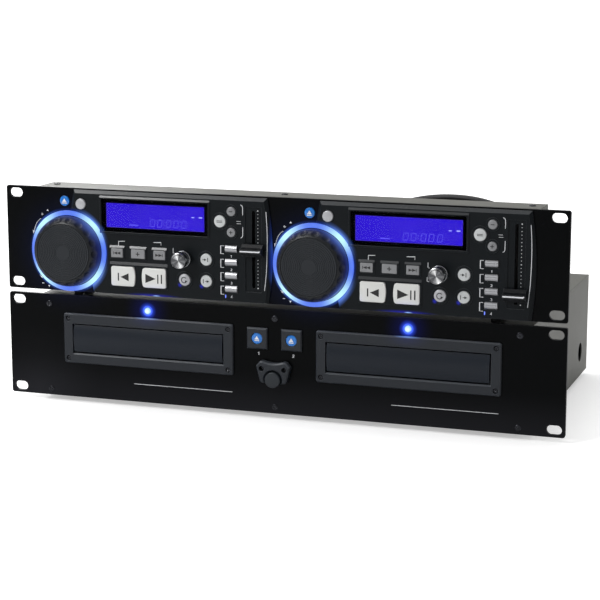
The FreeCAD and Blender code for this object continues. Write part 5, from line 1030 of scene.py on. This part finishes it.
def spunMetal(deck):
    # rings cut by the turning tool; the bright bow-ties of reflection they throw to both sides of the axis
    # are painted into the colour as a painted highlight, with fainter narrow streaks
    material = surface("spunMetal_%d" % deck, looks["knobMetal"])
    tree, shader = material.node_tree, material.node_tree.nodes["Principled BSDF"]
    around = vectorNode(tree, "SUBTRACT", objectPlace(tree), onDeck(deck, *knobAt))
    paintedBowTie = crests(tree, waveRound(tree, around, 2.0, 2.3), 5.0)
    paintedBowTie = mathNode(tree, "MULTIPLY_ADD", waveRound(tree, around, 7.0, 0.6), 0.12, paintedBowTie, clamp=True)
    # painted reflection: dark between the bow-ties, near white on them
    colour = mixColour(tree, paintedBowTie, tone(88, 89, 92), tone(236, 237, 238))
    fill(tree, shader, {"Base Color": colour, "Anisotropic": 0.6})
    return material


def makeKnobs():
    for deck in (1, 2):
        mesh = lathe("trackKnob_%d" % deck, knobProfile, onDeck(deck, *knobAt), 160)
        twoSkins(mesh, skins["knobMetal"], spunMetal(deck),
                 lambda place: place.y < plateFront - faceReach * mm)
        piece = addPiece(mesh, None, 30, "track_knob_%d_body" % deck)
        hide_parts("track_knob_%d" % deck)


makeKnobs()

# bright line across the pitch fader's grip


def makeFaderLines():
    line = stroke([(-8.6, 0.0), (7.6, 0.0), (8.6, 0.7)], 1.1)
    for deck in (1, 2):
        origin = frontMiddle("pitch_fader_%d" % deck) + Vector((0, 0.3 * mm, 0))
        addPiece(slab("faderLine_%d" % deck, [line], origin, 0.34), skins["printWhite"],
                 body="pitch_fader_%d_body" % deck)


makeFaderLines()
print("knobs and faders are made")

# screws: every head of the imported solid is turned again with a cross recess


# shares of a head's radius and height; its height in mm; each head is turned further than the last
screws = {"slotHalf": 0.13, "slotReach": 0.52, "height": 0.9, "turn": 0.5, "turnStep": 1.3,
          "dome": ((0.62, 0.98), (0.8, 0.88), (0.93, 0.66), (1.0, 0.35), (1.0, 0.0))}


def crossLoop(half, length):
    # (reach, angle) points round a cross; half is half the width of its slots
    loop = []
    corner = math.degrees(math.atan2(half, length))
    for arm in range(4):
        for step in (-45, -(45 + corner) / 2, -corner, 0, corner, (45 + corner) / 2):
            angle = math.radians(step)
            reach = length / math.cos(angle) if abs(step) <= corner + 1e-6 else half / abs(math.sin(angle))
            loop.append((reach, math.radians(step + 90 * arm)))
    return loop


def screwHead(name, centre, radius, height, axis, turn):
    # loops from the recess floor up, over the dome and down to the seat
    cross = crossLoop(screws["slotHalf"] * radius, screws["slotReach"] * radius)
    rows = [(cross, 0.25, 0.6), (cross, 1.0, 1.0)]
    angles = [angle for _, angle in cross]
    for share, level in screws["dome"]:
        rows.append(([(radius * share, angle) for angle in angles], level, 1.0))
    upright = Vector((0, 0, 1)) if abs(axis.z) < 0.5 else Vector((0, 1, 0))
    across = upright.cross(axis).normalized()
    points = []
    for loop, level, scale in rows:
        for reach, angle in loop:
            side = across * math.cos(angle + turn) + upright * math.sin(angle + turn)
            points.append(centre + side * reach * scale + axis * height * level)
    count = len(angles)
    faces = skinLoops(len(rows), count) + [list(range(count))]
    return meshFrom(name, points, faces)


def makeScrews():
    # plate, bezel, guard and case screws: seat, head radius and axis
    front, up = Vector((0, -1, 0)), Vector((0, 0, 1))
    places = [(onPlayer(x, z), 2.8, front) for x in (-203.8, 0, 203.8) for z in (5.2, 79.8)]
    places += [(onPlayer(tray + x, 51.4 + z, 1.0), 2.2, front)
               for tray in trayX.values() for x in (-72.6, 72.6) for z in (-17.1, 17.1)]
    places += [(onPlayer(x, 38.6, 2.0), 2.2, front) for x in (-9.8, 9.8)]
    places += [(Vector((x * mm, plateFront + 25 * mm, 0.1836)), 2.8, up) for x in (-206.0, 0, 206.0)]
    heads = []
    for number, (seat, radius, axis) in enumerate(places):
        turn = screws["turn"] + screws["turnStep"] * number
        heads.append(screwHead("head", seat, radius * mm, screws["height"] * mm, axis, turn))
    piece = addPiece(joinMeshes("screwHeads", heads), skins["screwSteel"], 25)
    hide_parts("case_screws")


makeScrews()
print("screws are in")

# light rings round the wheels, lamps over the trays and small lamps below the mode keys

ring = {"blue": tone(82, 118, 232), "deep": tone(68, 102, 228), "hot": tone(196, 250, 255)}


def glow(tree, shader, colour, base, roughness, specular=0.5):
    fill(tree, shader, {"Emission Color": colour, "Emission Strength": 1.0, "Base Color": (*base, 1),
                        "Roughness": roughness, "Specular IOR Level": specular})


def glowingRing(deck):
    # light guide, whitest where its four lamps sit behind it, deeper blue at its edges
    material, tree, shader = newMaterial("lightRing_%d" % deck)
    guide = ringLight(material, deck, 32.3, 3.4, 0.8)
    blue = mixColour(tree, guide["Band"], ring["deep"], ring["blue"])
    lit = mixColour(tree, guide["Hot"], blue, ring["hot"])
    mottle = mathNode(tree, "MULTIPLY_ADD", noiseNode(tree, objectPlace(tree), 260.0), 0.2, 0.9)
    glow(tree, shader, mixColour(tree, 1.0, lit, mottle, "MULTIPLY"), (0.02, 0.04, 0.12), 0.35)
    return material


def glowingLens(name, core, rim, centre, reach):
    material, tree, shader = newMaterial(name)
    lit = mixColour(tree, spotMask(material, centre, 0.0, reach, 1.3), rim, core)
    glow(tree, shader, lit, (0.1, 0.2, 0.4), 0.15)
    return material


ringProfile = [(30.4, 0.0), (30.4, 1.3), (30.6, 1.5), (34.1, 1.5), (34.3, 1.3), (34.3, 0.0), (30.4, 0.0)]
lampProfile = [(0.0, -3.8), (2.5, -3.8), (2.5, 0.2), (2.45, 0.6), (2.2, 1.0), (1.8, 1.25), (1.1, 1.37),
               (0.0, 1.4)]
collarProfile = [(2.5, -3.8), (3.3, -3.8), (3.3, -3.0), (2.5, -3.0)]
# lamps: colours of middle and rim, how far the middle's light reaches and how far out it lies, in mm
trayLamp = {"tones": (tone(250, 255, 255), tone(150, 200, 255)), "reach": 3.4, "out": 1.2}
modeLamp = {"tones": (tone(120, 130, 255), tone(40, 40, 225)), "reach": 1.6, "place": (142.7, 4.9, 4.0),
            "outline": roundedBox(0, 0, 0.9, 2.8, 0.4), "thick": 0.12}


def makeLights():
    for deck in (1, 2):
        mesh = lathe("lightRing_%d" % deck, ringProfile, onDeck(deck, 0, ringUp), 240)
        piece = addPiece(mesh, glowingRing(deck), 30)
        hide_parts("light_guides")
        centre = onPlayer(trayX[deck], trayLampUp)
        lens = glowingLens("trayLamp_%d" % deck, *trayLamp["tones"],
                           centre - Vector((0, trayLamp["out"] * mm, 0)), trayLamp["reach"])
        addPiece(lathe("trayLamp_%d" % deck, lampProfile, centre, 48), lens, 40)
        mesh = lathe("lampCollar_%d" % deck, collarProfile, centre, 48)
        addPiece(mesh, skins["maskBlack"], 30)
        place = onDeck(deck, *modeLamp["place"])
        mesh = slab("modeLamp_%d" % deck, [modeLamp["outline"]], place, modeLamp["thick"])
        addPiece(mesh,
                 glowingLens("modeLamp_%d" % deck, *modeLamp["tones"], place, modeLamp["reach"]))


makeLights()
print("lights are lit")

# displays: a blue panel with its segments, a black mask and the clear pane

display = {"x": 79.8, "up": 67.1, "glass": (88.0, 20.4), "window": (94.8, 27.0),
           "panel": (tone(42, 19, 206), tone(54, 29, 220)),
           "segments": (tone(112, 98, 244), tone(100, 86, 238)),
           "dashes": (tone(190, 190, 255), tone(205, 205, 255)),
           "half": 1.9, "tall": 2.9, "line": 0.5, "slant": 0.12}
# the six outer segments of a digit, as shares of its half width and half height
segments = (((-1, 1), (1, 1)), ((1, 1), (1, 0)), ((1, 0), (1, -1)), ((-1, -1), (1, -1)),
            ((-1, 0), (-1, -1)), ((-1, 1), (-1, 0)))


def glowingSheet(name, tones):
    material, tree, shader = newMaterial(name)
    mottled = mixColour(tree, noiseNode(tree, objectPlace(tree), 26.0), *tones)
    glow(tree, shader, mottled, (0, 0, 0), 0.5, 0.0)
    return material


def clearPane():
    material, tree, shader = newMaterial("clearPane")
    haze = mathNode(tree, "MULTIPLY_ADD", noiseNode(tree, objectPlace(tree), 60.0), 0.008, 0.004)
    fill(tree, shader, {"Base Color": (0.92, 0.94, 0.97, 1), "Roughness": haze, "IOR": 1.12,
                        "Transmission Weight": 1.0, "Specular IOR Level": 0.04})
    return material


def segmentZero(x, z):
    tall, width, outlines = display["tall"], display["line"], []
    for ends in segments:
        start, end = [Vector((x + across * display["half"] + up * display["slant"] * tall, z + up * tall))
                      for across, up in ends]
        gap = (end - start).normalized() * width * 0.6
        outlines.append(stroke([tuple(start + gap), tuple(end - gap)], width))
    return outlines


def displayMask(deck, origin):
    # a flat black frame between the panel and the clear pane
    inner, outer = [roundedBox(0, 0, *display[part], radius)
                    for part, radius in (("glass", 0.7), ("window", 0.5))]
    points = [origin + Vector((x, -level, z)) * mm
              for loop, level in ((inner, 0), (inner, 0.06), (outer, 0.06), (outer, 0), (inner, 0))
              for x, z in loop]
    return meshFrom("displayMask_%d" % deck, points, skinLoops(5, len(inner)))


def makeDisplays():
    sheets = [glowingSheet("displayBlue", display["panel"]),
              glowingSheet("displaySegments", display["segments"]),
              glowingSheet("displayDashes", display["dashes"])]
    dress("display_windows", clearPane())
    width, height = display["glass"]
    digits = [disc(8.0, -3.8, 0.4, 8), disc(7.8, -6.4, 0.4, 8), bar(-19.5, -7.6, 8.0, 0.9)]
    for x in (-2.5, 4.0, 12.0, 18.5, 25.5):
        digits += segmentZero(x, -5.2)
    layers = (("Panel", [roundedBox(0, 0, width + 1.2, height + 1.2, 0.8)], 0.0, 0.15),
              ("Digits", digits, 0.14, 0.05),
              ("Dashes", [bar(33.6, 1.2, 2.4, 0.7), bar(40.2, 1.3, 3.0, 0.9)], 0.14, 0.05))
    for deck in (1, 2):
        centre = onDeck(deck, display["x"], display["up"], 1.3)
        for (kind, outlines, proud, thick), sheet in zip(layers, sheets):
            origin = centre - Vector((0, proud * mm, 0))
            addPiece(slab("display%s_%d" % (kind, deck), outlines, origin, thick), sheet)
        mask = displayMask(deck, centre - Vector((0, 0.42 * mm, 0)))
        addPiece(mask, skins["maskBlack"])


makeDisplays()
print("displays are made")

# floor, lamps and world

floor = {"tones": (tone(232, 232, 232), tone(235, 235, 235)), "lift": 0.42, "farLift": 0.95,
         "size": 6.0, "back": 3.6, "curve": 1.5, "steps": 12, "wall": 5.0}
world = {"light": 0.42, "seen": 1.0}


def seenOnly(tree):
    # 1 for rays that show the background itself, 0 for those that carry its light
    path = tree.nodes.new("ShaderNodeLightPath")
    return mathNode(tree, "MAXIMUM", path.outputs["Is Camera Ray"], path.outputs["Is Transmission Ray"])


def makeFloor():
    # a flat sheet that curves up into a wall behind the object
    size, back, curve = floor["size"], floor["back"], floor["curve"]
    line = [(-size, 0), (back, 0)]
    for step in range(1, floor["steps"] + 1):
        angle = step * math.pi / 2 / floor["steps"]
        line.append((back + curve * math.sin(angle), curve - curve * math.cos(angle)))
    line.append((back + curve, floor["wall"]))
    points = [(side, y, z) for y, z in line for side in (-size, size)]
    faces = [[k, k + 1, k + 3, k + 2] for k in range(0, len(points) - 2, 2)]
    mesh = meshFrom("studioFloor", points, faces)
    mesh.shade_smooth()
    material, tree, shader = newMaterial("studioFloor")
    near = placeGroup(tree, spotGroup, Centre=(0, 0.1, 0), Inner=0.25, Outer=1.7, Power=1.0)["Mask"]
    lift = mathNode(tree, "MULTIPLY_ADD", near, floor["lift"] - floor["farLift"], floor["farLift"])
    fill(tree, shader, {
        "Base Color": mixColour(tree, noiseNode(tree, objectPlace(tree), 3.0), *floor["tones"]),
        "Roughness": 0.9, "Specular IOR Level": 0.1, "Emission Color": (1, 1, 1, 1),
        "Emission Strength": mathNode(tree, "MULTIPLY", seenOnly(tree), lift)})
    mesh.materials.append(material)
    return newObject("studioFloor", mesh)


def makeLamp(name, place, aim, size, power):
    data = bpy.data.lights.new(name, "AREA")
    data.shape, data.size, data.size_y, data.energy = "RECTANGLE", size[0], size[1], power
    lamp = newObject(name, data)
    lamp.location = place
    lamp.rotation_euler = turnedAlong(Vector(aim) - Vector(place))
    return lamp


def makeWorld():
    sky = bpy.data.worlds.new("studioWorld")
    sky.use_nodes = True
    bpy.context.scene.world = sky
    tree = sky.node_tree
    strength = mathNode(tree, "MULTIPLY_ADD", seenOnly(tree), world["seen"] - world["light"],
                        world["light"])
    fill(tree, tree.nodes["Background"], {"Color": (1, 1, 1, 1), "Strength": strength})


def makeStudio():
    makeWorld()
    makeFloor()
    makeLamp("topLamp", (-0.25, 0.4, 1.5), (-0.05, 0.0, 0.1), (1.4, 0.8), 13.0)
    makeLamp("stripLamp", (-0.95, -0.4, 1.45), (-0.12, -0.1, 0.15), (0.8, 0.45), 6.0)
    makeLamp("keyLamp", (-0.8, -1.2, 1.05), (-0.05, -0.1, 0.12), (0.5, 0.4), 13.0)
    makeLamp("backLamp", (-1.3, 1.7, 0.6), (-0.1, 0.0, 0.15), (0.9, 0.5), 5.5)
    makeLamp("sideLamp", (1.6, 0.2, 0.8), (0.1, 0.0, 0.1), (0.8, 1.0), 1.8)


makeStudio()
print("studio is lit")
